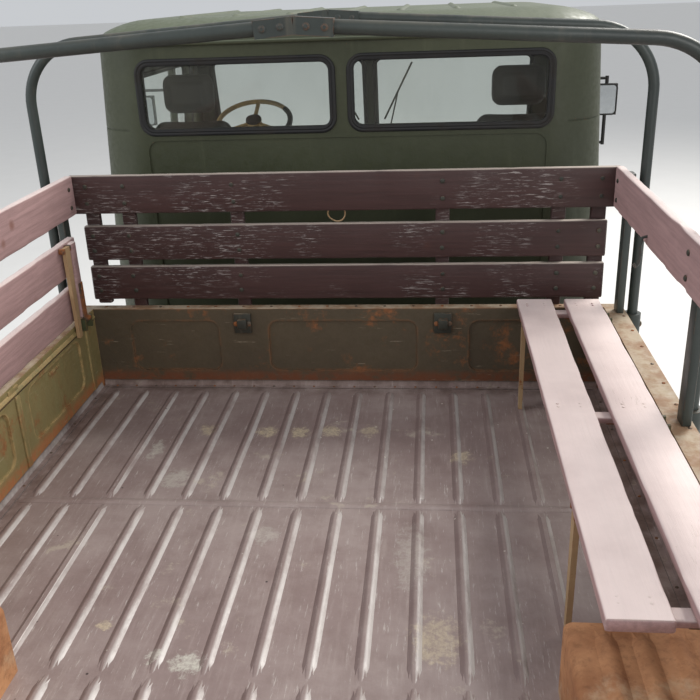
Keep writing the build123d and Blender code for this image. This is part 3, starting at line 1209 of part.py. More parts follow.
def grille():
    """Horizontal bars in a frame between the headlamps."""
    y0 = CAB_FRONT_Y - 30
    y1 = CAB_FRONT_Y - 6
    bars = []
    count = 11
    step = (GRILLE_TOP - GRILLE_BOTTOM) / (count + 1)
    for bar in range(count):
        z = GRILLE_BOTTOM + (bar + 1) * step
        bars.append(block(-GRILLE_HALF_WIDTH, GRILLE_HALF_WIDTH, y0, y1, z - 6, z + 6))
    for x in (-280, -140, 0, 140, 280):
        bars.append(block(x - 5, x + 5, y0 + 4, y1 - 4, GRILLE_BOTTOM + step - 6, GRILLE_TOP - step + 6))
    return fused(bars) & grille_hole()


def front_lamps():
    """Headlamps in their bowls and the small side lamps above them."""
    lamps = []
    for side in SIDES:
        lamp = rod((side * LAMP_X, CAB_FRONT_Y - CAB_WALL, LAMP_Z), (side * LAMP_X, CAB_FRONT_Y + 12, LAMP_Z), LAMP_RADIUS)
        lamps.append(lamp)
        small = rod((side * 780, CAB_FRONT_Y, 1345), (side * 780, CAB_FRONT_Y + 30, 1345), 38)
        lamps.append(small)
    return lamps


MIRROR_X = 1340
MIRROR_LOW = 1745
MIRROR_HIGH = 2100


def mirrors():
    """Side mirrors on tube brackets from the cab's front posts."""
    out = []
    for side in SIDES:
        y = DOOR_FRONT_Y + 40
        low = MIRROR_LOW
        high = MIRROR_HIGH
        arms = [rod((side * side_wall_x(z - 8), y, z), (side * MIRROR_X, y, z), 8) for z in (low, high)]
        post = rod((side * MIRROR_X, y, low - 12), (side * MIRROR_X, y, high + 12), 10)
        head = side_block(side, MIRROR_X - 60, MIRROR_X + 60, y - 14, y + 16, high - 200, high - 30)
        out.append(fused(arms + [post, head]))
    return out


def main():
    """Build every node and write its STEP file."""
    os.makedirs("parts", exist_ok=True)
    shell = cab_shell()
    names = {-1: "left", 1: "right"}
    for side in SIDES:
        word = names[side]
        for axle, track, y in (("front", FRONT_TRACK, FRONT_AXLE_Y), ("rear", REAR_TRACK, REAR_AXLE_Y)):
            save(f"tyre_{axle}_{word}", tyre(side * track / 2, side, y))
            save(f"wheel_{axle}_{word}", rim(side * track / 2, side, y))
        save(f"steering_knuckle_{word}", knuckle(side))
        save(f"door_{word}", door(shell, side))
        save(f"door_glass_{word}", door_glass(side))
        for place in BENCHES:
            turned = bench(side, place)
            legs = bench_leg(side, place)
            if side == 1 and place == "front":
                fold = Axis((side * BENCH_HINGE_X, 0, FLOOR_TOP + BENCH_HINGE_HEIGHT), (0, 1, 0))
                turned = turned.rotate(fold, -90 * side)
                drop = (-side * (LEG_PIVOT + LEG_PIVOT_OUT), 0, LEG_PIVOT_OUT - LEG_PIVOT)
                legs = [Pos(*drop) * leg for leg in legs]
            save(f"bench_{place}_{word}", turned)
            save(f"bench_legs_{place}_{word}", *legs)
    save("front_axle", front_axle())
    save("rear_axle", rear_axle())
    springs = []
    for side in SIDES:
        for y in (FRONT_AXLE_Y, REAR_AXLE_Y):
            springs.append(leaf_spring(side, y, HUB_HEIGHT + AXLE_TUBE_RADIUS))
            springs.append(damper(side, y, HUB_HEIGHT + AXLE_TUBE_RADIUS + 6))
    save("leaf_springs", *springs)
    save("ladder_frame", fused([frame_rail(side) for side in SIDES] + crossmembers()))
    save("front_bumper", front_bumper())
    save("tow_fittings", *tow_eyes(), tow_coupling())
    save("engine_block", engine())
    save("drive_line", *drive_line())
    save("fuel_tanks", *fuel_tanks())
    save("exhaust", exhaust())
    save("bed_floor", bed_floor())
    save("bed_bearers", bed_bearers())
    save("wheel_boxes", *wheel_boxes())
    save("bed_front_wall", bed_front_wall())
    save("bed_side_walls", *[bed_side_wall(side) for side in SIDES])
    save("front_boards", front_boards())
    save("side_boards", *[side_boards(side) for side in SIDES])
    save("bench_hinges", *[hinge for side in SIDES for hinge in bench_hinges(side)])
    save("bows", *[bow(place) for place in BOWS_IN_PLACE],
         *[bow_socket(side, place) for side in SIDES for place in range(BOW_PLACES)])
    save("tailgate", tailgate())
    save("mudguards", *mudguards())
    save("tail_lamps", *tail_lamps())
    save("cab_rear_wall", cab_rear_wall(shell))
    save("cab_front_panel", cab_front_panel(shell))
    save("cab_side_frames", *cab_side_frames(shell))
    save("cab_roof", cab_roof())
    save("cab_floor", cab_floor())
    save("engine_cover", engine_cover())
    save("dashboard", dashboard())
    save("steering_column", steering_column())
    save("steering_wheel", steering_wheel())
    save("seat_frames", *seat_frames())
    save("seat_cushions", *seat_cushions())
    save("window_seals", *gaskets())
    rear = Plane(origin=(0, CAB_REAR_Y, 0), x_dir=(1, 0, 0), z_dir=(0, -1, 0))
    save("cab_windows",
         *window_panes(REAR_WINDOW_INNER, REAR_WINDOW_OUTER, REAR_WINDOW_BOTTOM, REAR_WINDOW_TOP, rear),
         *window_panes(SCREEN_INNER, SCREEN_OUTER, SCREEN_LOW, SCREEN_HIGH, screen_plane()))
    save("grille", grille())
    save("front_lamps", *front_lamps())
    save("mirrors", *mirrors())


main()
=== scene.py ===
"""The looks of a light military cargo truck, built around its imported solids.

Metres. +X is the truck's right, +Y its front and +Z up, as in the solids.
"""

import math

import bmesh
import bpy
from mathutils import Matrix, Vector, noise


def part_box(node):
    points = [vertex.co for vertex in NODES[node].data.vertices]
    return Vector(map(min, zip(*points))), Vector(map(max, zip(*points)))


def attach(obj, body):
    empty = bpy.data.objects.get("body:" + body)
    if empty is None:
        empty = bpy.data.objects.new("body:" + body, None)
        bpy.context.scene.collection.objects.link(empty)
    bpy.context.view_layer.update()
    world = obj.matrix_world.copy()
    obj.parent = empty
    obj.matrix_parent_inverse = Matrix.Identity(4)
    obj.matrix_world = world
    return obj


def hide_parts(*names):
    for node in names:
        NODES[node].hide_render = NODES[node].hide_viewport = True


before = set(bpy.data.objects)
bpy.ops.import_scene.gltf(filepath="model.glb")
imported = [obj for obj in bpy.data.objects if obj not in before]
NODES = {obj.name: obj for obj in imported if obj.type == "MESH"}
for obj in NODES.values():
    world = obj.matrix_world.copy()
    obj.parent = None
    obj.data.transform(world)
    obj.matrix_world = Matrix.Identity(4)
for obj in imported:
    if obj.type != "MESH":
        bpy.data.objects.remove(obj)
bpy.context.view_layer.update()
SIDES = (("left", -1), ("right", 1))
HANDS = (-1, 1)

# Places read from the frame
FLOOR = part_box("wheel_boxes")[0].z
WALL_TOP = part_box("bed_side_walls")[1].z
BED_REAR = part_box("bed_side_walls")[0].y
BED_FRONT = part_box("bed_front_wall")[0].y
BED_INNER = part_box("bed_floor")[1].x - 0.040
BOX_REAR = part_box("wheel_boxes")[0].y
BOX_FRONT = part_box("wheel_boxes")[1].y
CAB_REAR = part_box("cab_rear_wall")[0].y
CAB_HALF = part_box("cab_rear_wall")[1].x
CAB_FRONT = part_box("cab_front_panel")[1].y
FRONT_AXLE_Y = (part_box("tyre_front_left")[0].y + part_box("tyre_front_left")[1].y) / 2
REAR_AXLE_Y = (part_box("tyre_rear_left")[0].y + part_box("tyre_rear_left")[1].y) / 2
TYRE_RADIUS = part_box("tyre_rear_left")[1].z / 2
REAR_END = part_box("tailgate")[0].y
FRONT_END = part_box("front_bumper")[1].y
RAIL_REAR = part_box("ladder_frame")[0].y + 0.10

# Places shared by several pieces
HINGE_X = 1.000
HINGE_Z = FLOOR + 0.350
LEG_FOOT_X = HINGE_X - 0.302
BOARD_Y = BED_FRONT + 0.010
BOARD_THICK = 0.030
POST_THICK = 0.028
BOARD_TOP = FLOOR + 0.890
POST_X = (-0.836, -0.400, 0.400, 0.836)
SIDE_SLAT_X = BED_INNER + 0.002
SIDE_POST_Y = (BED_FRONT - 0.045, -0.420, -1.350, -2.050, BED_REAR + 0.045)
WALL_OUTER = BED_INNER + 0.054
BRACKET_X = (-0.404, 0.404)
PRESSING_PITCH = 0.624
BELT = 1.580
EAVES = 2.420
CAB_LEAN = math.atan2(0.045, EAVES - BELT)
SCREEN_TILT = math.radians(13)
ROOF_FRONT = CAB_FRONT - (EAVES - BELT) * math.tan(SCREEN_TILT)
DOOR_FRONT = CAB_FRONT - 0.260
DOOR_REAR = DOOR_FRONT - 1.110
DOOR_GLASS_Y = (DOOR_REAR + 0.090, DOOR_FRONT - 0.090)
DOOR_GLASS_Z = (1.620, 2.265)
MIRROR_PLACE = (1.340, DOOR_FRONT + 0.040, 1.985)
WHEEL_CENTRE = Vector((-0.612, DOOR_FRONT - 0.340, 1.955))
WHEEL_TILT = math.radians(26)
BOW_X = 1.128
BOW_PITCH = (BED_FRONT - BED_REAR - 0.040) / 4
BOW_RIDGE = FLOOR + 1.431
BOW_SLOPE = 0.090 / BOW_X
TANK_Y = CAB_REAR - 0.660
SPRING_X = 0.410
SILENCER = Vector((-0.560, REAR_AXLE_Y + 0.9125, 0.720))
VOXEL = 0.011
# bench: distance of its front and rear ends behind the front wall, and of its legs
BENCHES = {"front": (0.070, 1.885, (0.200, 1.450)), "rear": (1.915, 3.290, (2.045, 3.160))}


# Camera, stage and light

CAMERA_PLACE = (0.3557, -2.6571, 2.5872)
CAMERA_YAW = math.radians(5.83)
CAMERA_PITCH = math.radians(22.57)
CAMERA_ROLL = math.radians(-2.15)
CAMERA_FOCAL = 44.07
PALE = (0.80, 0.79, 0.77)
PALE_SHADE = (0.76, 0.75, 0.73)
WORLD_COLOUR = (0.93, 0.96, 1.0, 1)
WORLD_STRENGTH = 0.62
# place, aim, width, watts, colour
LAMPS = (
    ((5.5, 6.0, 8.5), (0, -0.5, 1.0), 4.5, 950, (1.0, 0.97, 0.92)),
    ((-7.0, -3.0, 6.0), (0, 0, 1.0), 5.0, 260, (0.93, 0.96, 1.0)),
    ((4.5, -8.0, 5.0), (0, -1.0, 1.0), 5.0, 260, (1.0, 0.98, 0.95)),
)


def add_object(name, data):
    """A new object in the scene."""
    thing = bpy.data.objects.new(name, data)
    bpy.context.scene.collection.objects.link(thing)
    return thing


def make_camera():
    """The camera at the photograph's place, looking forward over the bed."""
    level = Vector((-math.sin(CAMERA_YAW), math.cos(CAMERA_YAW), 0))
    across = Vector((math.cos(CAMERA_YAW), math.sin(CAMERA_YAW), 0))
    upright = Vector((0, 0, 1))
    ahead = level * math.cos(CAMERA_PITCH) - upright * math.sin(CAMERA_PITCH)
    above = upright * math.cos(CAMERA_PITCH) + level * math.sin(CAMERA_PITCH)
    right = across * math.cos(CAMERA_ROLL) + above * math.sin(CAMERA_ROLL)
    up = above * math.cos(CAMERA_ROLL) - across * math.sin(CAMERA_ROLL)
    data = bpy.data.cameras.new("camera")
    data.lens = CAMERA_FOCAL
    data.sensor_width = 36
    data.clip_start = 0.05
    data.clip_end = 300
    camera = add_object("camera", data)
    turn = Matrix((right, up, -ahead)).transposed().to_4x4()
    camera.matrix_world = Matrix.Translation(CAMERA_PLACE) @ turn
    bpy.context.scene.camera = camera


def make_stage():
    """A wide pale floor, a pale world and three soft lamps."""
    reach = 120
    mesh = bpy.data.meshes.new("studio_floor")
    corners = [(-reach, -reach, 0), (reach, -reach, 0), (reach, reach, 0), (-reach, reach, 0)]
    mesh.from_pydata(corners, [], [(0, 1, 2, 3)])
    floor = add_object("studio_floor", mesh)
    floor.location.z = -0.001
    shade = Shade("studio_floor")
    shade.colour = shade.mix(shade.noise(3.0, 3), PALE, PALE_SHADE)
    mesh.materials.append(shade.done(0.9))
    world = bpy.data.worlds.new("studio")
    bpy.context.scene.world = world
    world.use_nodes = True
    back = world.node_tree.nodes["Background"]
    back.inputs["Color"].default_value = WORLD_COLOUR
    back.inputs["Strength"].default_value = WORLD_STRENGTH
    for place, aim, width, watts, colour in LAMPS:
        data = bpy.data.lights.new("soft_lamp", "AREA")
        data.shape = "DISK"
        data.size = width
        data.energy = watts
        data.color = colour
        lamp = add_object("soft_lamp", data)
        lamp.location = place
        lamp.rotation_euler = (Vector(aim) - Vector(place)).to_track_quat("-Z", "Y").to_euler()
    bpy.context.scene.view_settings.view_transform = "Standard"


# Materials

def srgb(red, green, blue):
    """A colour as a paint chart gives it, 0 to 255, made linear."""
    return tuple(((v / 255 + 0.055) / 1.055) ** 2.4 if v > 10 else v / 255 / 12.92
                 for v in (red, green, blue))


def scaled(colour, share):
    """A colour made darker or lighter."""
    return tuple(share * v for v in colour)


RUST_DARK = srgb(92, 52, 30)
RUST_PALE = srgb(176, 112, 64)
DUST = srgb(168, 152, 128)
BLACK = srgb(20, 20, 20)


class Wire:
    """A node's output. Sums on it add nodes; | gives the larger of two."""

    def __init__(self, shade, socket):
        self.shade = shade
        self.socket = socket

    def math(self, kind, first, second=0.0):
        """One sum on two numbers."""
        return self.shade.node("Math", {0: first, 1: second}, operation=kind)

    def __mul__(self, other):
        return self.math("MULTIPLY", self, other)

    def __truediv__(self, other):
        return self.math("DIVIDE", self, other)

    def __add__(self, other):
        return self.math("ADD", self, other)

    def __sub__(self, other):
        return self.math("SUBTRACT", self, other)

    def __rsub__(self, other):
        return self.math("SUBTRACT", other, self)

    def __or__(self, other):
        return self.math("MAXIMUM", self, other)

    def __abs__(self):
        return self.math("ABSOLUTE", self)

    def step(self, low, high, to_low=0.0, to_high=1.0):
        """A soft step: to_low below low, to_high above high."""
        ends = {"Value": self, "From Min": low, "From Max": high, "To Min": to_low, "To Max": to_high}
        return self.shade.node("MapRange", ends, "Result", interpolation_type="SMOOTHSTEP")


class Shade:
    """A node material, its colour put on in coats."""

    def __init__(self, name, metal=0.0):
        self.material = bpy.data.materials.new(name)
        self.material.use_nodes = True
        self.tree = self.material.node_tree
        self.surface = self.tree.nodes["Principled BSDF"].inputs
        self.put(self.surface["Metallic"], metal)
        self.place = self.node("TexCoord", output="Object")
        self.colour = None

    def put(self, socket, value):
        """Set a socket to a number, a colour or another node's output."""
        if isinstance(value, Wire):
            self.tree.links.new(value.socket, socket)
        elif socket.type == "RGBA":
            socket.default_value = (*value, 1)
        else:
            socket.default_value = value

    def node(self, kind, inputs=(), output=0, **settings):
        """The output of a new node, its settings and inputs given."""
        node = self.tree.nodes.new("ShaderNode" + kind)
        for key, value in settings.items():
            setattr(node, key, value)
        for key, value in dict(inputs).items():
            self.put(node.inputs[key], value)
        return Wire(self, node.outputs[output])

    def stretched(self, stretch, shift):
        """The object's coordinates, scaled along each axis and moved."""
        moved = (shift, shift * 1.7, shift * 0.6)
        return self.node("Mapping", {"Vector": self.place, "Scale": stretch, "Location": moved})

    def noise(self, scale, detail=4, rough=0.55, stretch=(1, 1, 1), shift=0.0):
        """Cloudy noise from 0 to 1, its scale in cells for each metre."""
        place = self.stretched(stretch, shift)
        inputs = {"Vector": place, "Scale": scale, "Detail": detail, "Roughness": rough}
        return self.node("TexNoise", inputs, "Fac")

    def cells(self, scale, shift=0.0):
        """The distance to the nearest of many scattered points."""
        inputs = {"Vector": self.stretched((1, 1, 1), shift), "Scale": scale}
        return self.node("TexVoronoi", inputs, "Distance")

    def mix(self, share, first, second):
        """A colour between two."""
        return self.node("Mix", {0: share, 6: first, 7: second}, 2, data_type="RGBA")

    def coat(self, share, colour):
        """Put a colour over the one so far."""
        self.colour = self.mix(share, self.colour, colour)

    def rust(self):
        """Rust from dark to orange in small grains."""
        return self.mix(self.noise(70, 5), RUST_DARK, RUST_PALE)

    def along(self, axis):
        """One of the object's own coordinates."""
        return self.node("SeparateXYZ", {0: self.place}, axis)

    def facing(self, axis="Z"):
        """How much the surface faces along an axis."""
        return self.node("SeparateXYZ", {0: self.node("NewGeometry", output="Normal")}, axis)

    def edge(self, radius):
        """About 1 at outer edges and inner corners, 0 on flat stretches."""
        bevel = self.node("Bevel", {"Radius": radius}, "Normal", samples=4)
        flat = self.node("NewGeometry", output="Normal")
        same = self.node("VectorMath", {0: bevel, 1: flat}, "Value", operation="DOT_PRODUCT")
        return same.step(0.80, 0.995, 1.0, 0.0)

    def done(self, rough, *bumps):
        """Link colour, roughness and bumps, each a height from 0 to 1 and its real depth."""
        self.put(self.surface["Base Color"], self.colour)
        self.put(self.surface["Roughness"], rough)
        normal = {}
        for height, depth in bumps:
            bump = self.node("Bump", {"Strength": 1.0, "Distance": depth, "Height": height, **normal})
            normal = {"Normal": bump}
            self.put(self.surface["Normal"], bump)
        return self.material


def painted(name, base, faded, rust, rough, dust):
    """Old paint on steel: faded in clouds, rusty at edges and in spots, dusty on top."""
    s = Shade(name)
    cloud = s.noise(2.3, 6, 0.6)
    fine = s.noise(38, 5, 0.6)
    s.colour = s.mix(cloud.step(0.36, 0.68), base, faded)
    s.coat(fine * 0.35, scaled(base, 0.55))
    runs = s.noise(20, 5, stretch=(1, 1, 0.08)).step(0.55, 0.78)
    s.coat(runs * (0.35 * dust + 0.1), DUST)
    up = s.facing().step(0.35, 0.95)
    s.coat(up * s.noise(6, 6, 0.6, shift=3).step(0.35, 0.7) * dust, DUST)
    chips = s.edge(0.004) * s.noise(24, 6, 0.65).step(0.44, 0.56)
    spots = s.noise(7.5, 9, 0.72, shift=8).step(0.70 - 0.20 * rust, 0.76 - 0.18 * rust)
    worn = chips * min(1, 0.4 + rust) | spots
    s.coat(worn, s.rust())
    return s.done((worn + fine * 0.5).step(0.0, 1.2, rough - 0.1, 0.92), (cloud, 0.0072), (fine, 0.00035),
                  (1.0 - worn, 0.0005))


def board_paint(name, base, bare, run, wear, fade_and_highlight=None):
    """Painted boards with grain along X or Y, worn through in scratches and at the edges, with paler upward
    faces when a top colour is given: sun-faded paint with a painted highlight.
    """
    s = Shade(name)
    grain = s.noise(3.0, 7, 0.65, stretch=(1.2, 26, 26) if run == "X" else (26, 1.2, 26))
    scratch = s.noise(2.0, 6, 0.7, stretch=(8, 95, 95) if run == "X" else (95, 8, 95), shift=5)
    patch = s.noise(2.6, 5, 0.6, shift=2)
    s.colour = s.mix(grain.step(0.3, 0.7), scaled(base, 0.72), base)
    # Upward faces take the top colour: a painted highlight, over paint faded by the sun.
    if fade_and_highlight:
        s.coat(s.facing().step(0.3, 0.9) * 0.85, fade_and_highlight)
    s.coat(patch.step(0.4, 0.7) * 0.25, scaled(base, 0.6))
    bald = scratch.step(0.62 - 0.12 * wear, 0.68 - 0.10 * wear)
    bald = bald * patch.step(0.62 - 0.3 * wear, 0.78 - 0.3 * wear)
    bald = bald | s.edge(0.007) * s.noise(9, 6, 0.65, shift=4).step(0.40, 0.62)
    s.coat(bald * 0.85, s.mix(grain, scaled(bare, 0.7), bare))
    stains = s.cells(5.2, shift=9).step(0.02, 0.13, 1.0, 0.0) * s.noise(3, 3, shift=11).step(0.45, 0.6)
    s.coat(stains * 0.6, srgb(120, 70, 44))
    return s.done(bald.step(0, 1, 0.5, 0.85), (grain, 0.0012), (1.0 - bald, 0.0006))


# Stains on the floor: x, distance behind the front wall, half width, half length, strength, colour
STAINS = (
    (-0.506, 0.745, 0.072, 0.075, 0.55, "pale"), (-0.632, 0.550, 0.030, 0.085, 0.70, "pale"),
    (-0.240, 1.605, 0.052, 0.050, 0.95, "pale"), (-0.326, 1.590, 0.026, 0.030, 0.80, "pale"),
    (-0.492, 1.478, 0.030, 0.022, 0.70, "cream"), (-0.478, 0.395, 0.042, 0.050, 0.75, "cream"),
    (-0.250, 0.402, 0.046, 0.050, 0.85, "cream"), (-0.130, 0.405, 0.046, 0.050, 0.80, "cream"),
    (-0.010, 0.395, 0.048, 0.055, 0.75, "cream"), (0.131, 0.392, 0.046, 0.055, 0.60, "cream"),
    (0.464, 0.580, 0.050, 0.055, 0.75, "cream"), (-0.150, 1.060, 0.055, 0.060, 0.40, "pale"),
    (0.370, 1.490, 0.075, 0.110, 0.50, "cream"), (0.300, 1.150, 0.060, 0.200, 0.30, "pale"),
)
STAIN_COLOURS = {"pale": srgb(204, 200, 188), "cream": srgb(212, 196, 164)}


def stain(s, x, y, wide, long):
    """A ragged patch on the floor: 1 inside, 0 outside."""
    aside = (s.along("X") - x) / wide
    ahead = (s.along("Y") - y) / long
    ragged = s.noise(34, 8, 0.78, shift=x * 9) * 5.0
    patch = (aside * aside + ahead * ahead + ragged).step(2.55, 3.35, 1.0, 0.0)
    return patch * s.noise(110, 4, 0.7).step(0.36, 0.60, 0.45, 1.0)


def floor_paint():
    """The bed floor's brown-mauve paint: brushed lengthwise, chipped and stained, with a painted highlight on
    the ribs' right slopes and painted shade on their left slopes.
    """
    s = Shade("floor_paint")
    cloud = s.noise(1.9, 6, 0.62, shift=1)
    s.colour = s.mix(cloud.step(0.35, 0.65), srgb(146, 127, 123), srgb(168, 152, 147))
    s.coat(s.noise(9.0, 7, 0.68, shift=12).step(0.38, 0.70, 0.0, 0.45), srgb(126, 106, 101))
    brushed = s.noise(2.4, 7, 0.72, stretch=(26, 2.4, 1))
    hairs = s.noise(5.0, 5, 0.75, stretch=(30, 2.8, 1), shift=4)
    s.coat(brushed.step(0.48, 0.78, 0.0, 0.42), srgb(186, 172, 165))
    s.coat(hairs.step(0.58, 0.70, 0.0, 0.60), srgb(212, 204, 197))
    worn = s.noise(5.5, 8, 0.74, shift=7).step(0.60, 0.66, 0.0, 0.55)
    s.coat(worn, srgb(190, 178, 160))
    for x, back, wide, long, strength, kind in STAINS:
        s.coat(stain(s, x, BED_FRONT - back, wide, long) * strength, STAIN_COLOURS[kind])
    # Painted highlight on the right-facing slopes of the ribs and strips, broken into pale patches, and
    # painted shade on their left-facing slopes.
    slope = s.facing("X")
    pale_patches = s.noise(15, 6, 0.66, stretch=(1, 0.35, 1)).step(0.30, 0.60, 0.15, 0.75)
    s.coat(slope.step(0.12, 0.42) * pale_patches, srgb(214, 208, 203))
    s.coat(slope.step(-0.10, -0.40, 0.0, 0.50), srgb(104, 84, 82))
    drops = s.cells(11, shift=2).step(0.02, 0.05, 1.0, 0.0)
    s.coat(drops * s.noise(1.6, 2, shift=6).step(0.44, 0.50), srgb(226, 220, 206))
    s.coat(s.cells(6.5, shift=8).step(0.012, 0.03, 1.0, 0.0), srgb(58, 44, 42))
    foot = s.along("Y").step(BED_FRONT - 0.12, BED_FRONT - 0.03)
    sides = abs(s.along("X")).step(BED_INNER - 0.10, BED_INNER - 0.03)
    s.coat((foot | sides) * s.noise(11, 6, 0.65).step(0.3, 0.7) * 0.7, srgb(84, 62, 52))
    s.colour = s.mix(s.facing().step(-0.2, 0.2), srgb(58, 56, 46), s.colour)
    rough = (worn + hairs * 0.6).step(0.2, 1.0, 0.34, 0.8)
    return s.done(rough, (cloud, 0.010), (brushed, 0.0006), (hairs, 0.0003))


def wall_steel():
    """The bed walls: olive-brown paint; pale and rusty round the pressings, the pale partly a painted
    highlight on their edges; bare and pale on the top flange, partly a painted highlight; the front wall in
    darker, browner copies of these colours as painted shade.
    """
    s = Shade("wall_steel")
    length = s.along("Y")
    height = s.along("Z")
    cloud = s.noise(3.2, 6, 0.62)
    fine = s.noise(30, 6, 0.65)
    # front picks out the front wall, which takes darker, browner copies of the wall colours: painted shade.
    front = length.step(BED_FRONT - 0.004, BED_FRONT)
    drips = s.noise(24, 6, 0.7, stretch=(1, 1, 0.3), shift=3).step(0.42, 0.62, 0.0, 0.55)
    olive = s.mix(drips, s.mix(cloud, srgb(112, 102, 66), srgb(158, 140, 92)), srgb(136, 128, 86))
    s.colour = s.mix(front, olive, s.mix(cloud, srgb(62, 53, 42), srgb(94, 82, 62)))
    outer = abs(s.along("X")).step(BED_INNER + 0.040, BED_INNER + 0.046)
    outer = outer | length.step(REAR_END + 0.016, REAR_END + 0.010)
    s.coat(outer, s.mix(cloud, srgb(74, 78, 54), srgb(94, 97, 70)))
    # Pale lines on the edges and inner corners of the pressings: edge wear with a painted highlight; on the
    # front wall darker rust as painted shade.
    outline = s.edge(0.016) * fine.step(0.36, 0.58)
    s.coat(outline * 0.75, s.mix(front, srgb(204, 168, 118), srgb(134, 92, 60)))
    s.coat(s.noise(5.5, 9, 0.74, shift=5).step(0.55, 0.66) * 0.8, s.rust())
    # Rust along the foot of the inner faces, darker on the front wall as painted shade.
    low = height.step(FLOOR + 0.085, FLOOR + 0.045) * outer.step(0.0, 1.0, 1.0, 0.3)
    s.coat(low * fine.step(0.30, 0.55), s.mix(front, srgb(170, 112, 70), srgb(110, 66, 42)))
    # The top flange: bare worn metal, and a painted highlight on the tops.
    top = height.step(WALL_TOP - 0.004, WALL_TOP - 0.001)
    bare = s.mix(s.noise(9, 7, 0.7, shift=2).step(0.4, 0.62), srgb(190, 172, 148), srgb(160, 126, 98))
    s.coat(top * 0.92, bare)
    s.coat(s.noise(6, 5, 0.7, stretch=(1, 1, 14), shift=8).step(0.64, 0.7, 0.0, 0.5), srgb(186, 172, 150))
    return s.done(fine.step(0.3, 0.7, 0.5, 0.88), (cloud, 0.007), (fine, 0.0005))


def box_rust():
    """The wheel boxes: bare steel gone orange."""
    s = Shade("box_rust")
    cloud = s.noise(4, 7, 0.66)
    grain = s.noise(42, 6, 0.7)
    s.colour = s.mix(cloud.step(0.32, 0.66), srgb(158, 106, 70), srgb(206, 152, 108))
    s.coat(grain.step(0.45, 0.7) * 0.4, srgb(104, 66, 44))
    s.coat(s.noise(7, 6, 0.66, shift=4).step(0.52, 0.7, 0.0, 0.7), srgb(206, 180, 148))
    return s.done(0.82, (cloud, 0.006), (grain, 0.0006))


def cab_paint():
    """Matt army green, paler grey on the roof as sun-faded paint with a painted highlight, and dusty below.
    """
    s = Shade("cab_paint")
    cloud = s.noise(1.6, 6, 0.6)
    fine = s.noise(44, 5, 0.6)
    height = s.along("Z")
    s.colour = s.mix(cloud.step(0.36, 0.66), srgb(56, 60, 40), srgb(68, 72, 50))
    s.coat(fine * 0.25, srgb(40, 43, 30))
    # Upward faces high on the cab turn paler grey: sun-faded paint with a painted highlight.
    up = s.facing().step(0.2, 0.9) * height.step(1.7, 2.4)
    roof_fade_and_highlight = s.mix(s.noise(7, 5, 0.6, stretch=(1, 0.25, 1)), srgb(84, 92, 72), srgb(112, 119, 96))
    s.coat(up * 0.85, roof_fade_and_highlight)
    s.coat(s.noise(16, 5, 0.6, stretch=(1, 1, 0.06)).step(0.56, 0.76, 0.0, 0.25), srgb(98, 102, 78))
    low = height.step(1.35, 0.85) * s.noise(9, 6, 0.65, shift=5).step(0.32, 0.66)
    s.coat(low * 0.6, srgb(138, 124, 98))
    chips = s.edge(0.004) * s.noise(22, 7, 0.7).step(0.58, 0.66)
    s.coat(chips | s.noise(8, 9, 0.75, shift=9).step(0.70, 0.73), s.rust())
    return s.done(fine.step(0.3, 0.7, 0.42, 0.6), (cloud, 0.010), (fine, 0.0002))


def glass(name, tint, milk):
    """Clear glass that lets light straight through, with streaks of dust."""
    s = Shade(name)
    clear = s.node("BsdfTransparent", {"Color": tint})
    gloss = s.node("BsdfGlossy", {"Roughness": 0.03})
    outer = s.node("Fresnel", {"IOR": 1.45}) * (1.0 - s.node("NewGeometry", output="Backfacing"))
    first = s.node("MixShader", {0: outer, 1: clear, 2: gloss})
    dusty = s.node("BsdfDiffuse", {"Color": srgb(178, 176, 160)})
    film = s.noise(2.2, 5, 0.6, stretch=(1, 1, 0.4)).step(0.35, 0.85, milk * 0.5, milk * 2.2)
    both = s.node("MixShader", {0: film, 1: first, 2: dusty})
    s.put(s.tree.nodes["Material Output"].inputs["Surface"], both)
    return s.material


def rubber(name, base, dust):
    """Old black rubber, dusty in patches."""
    s = Shade(name)
    patch = s.noise(9, 7, 0.68).step(0.42, 0.72)
    grain = s.noise(120, 3)
    s.colour = s.mix(patch * dust, base, srgb(120, 108, 90))
    s.coat(grain * 0.3, BLACK)
    return s.done(patch.step(0, 1, 0.6, 0.9), (grain, 0.0003))


def greasy(name, base):
    """Cast parts under road dirt and oil."""
    s = Shade(name, metal=0.3)
    cloud = s.noise(8, 7, 0.66)
    s.colour = s.mix(cloud.step(0.35, 0.6), base, srgb(96, 82, 64))
    s.coat(s.noise(5, 6, 0.6, shift=6).step(0.56, 0.68, 0.0, 0.8), srgb(24, 21, 19))
    return s.done(cloud.step(0.3, 0.7, 0.35, 0.85), (s.noise(60, 5, 0.7), 0.0008))


def metal(name, base, rust, rough):
    """Bare or plated metal with a bloom of rust."""
    s = Shade(name)
    grain = s.noise(46, 6, 0.66)
    bloom = s.noise(12, 8, 0.7, shift=3).step(0.66 - 0.25 * rust, 0.78 - 0.25 * rust)
    s.colour = s.mix(grain, scaled(base, 0.7), base)
    s.coat(bloom, s.rust())
    s.put(s.surface["Metallic"], bloom.step(0, 1, 0.85, 0.1))
    return s.done(bloom.step(0, 1, rough, 0.9), (grain, 0.0004))


def vinyl(name, base):
    """Seat cover with a leather grain and worn, paler patches."""
    s = Shade(name)
    pale_patches = s.noise(6, 5, 0.6).step(0.45, 0.7)
    s.colour = s.mix(pale_patches * 0.5, base, scaled(base, 1.9))
    return s.done(pale_patches.step(0, 1, 0.56, 0.38), (s.cells(260), 0.0005))


def lens(name, base):
    """A ribbed lamp glass of one colour."""
    s = Shade(name)
    wave = s.node("TexWave", {"Scale": 70, "Vector": s.place}, "Fac")
    s.colour = s.mix(s.noise(14, 6, 0.65).step(0.45, 0.75, 0.0, 0.4), base, DUST)
    s.put(s.surface["Transmission Weight"], 0.25)
    return s.done(0.12, (wave, 0.0012))


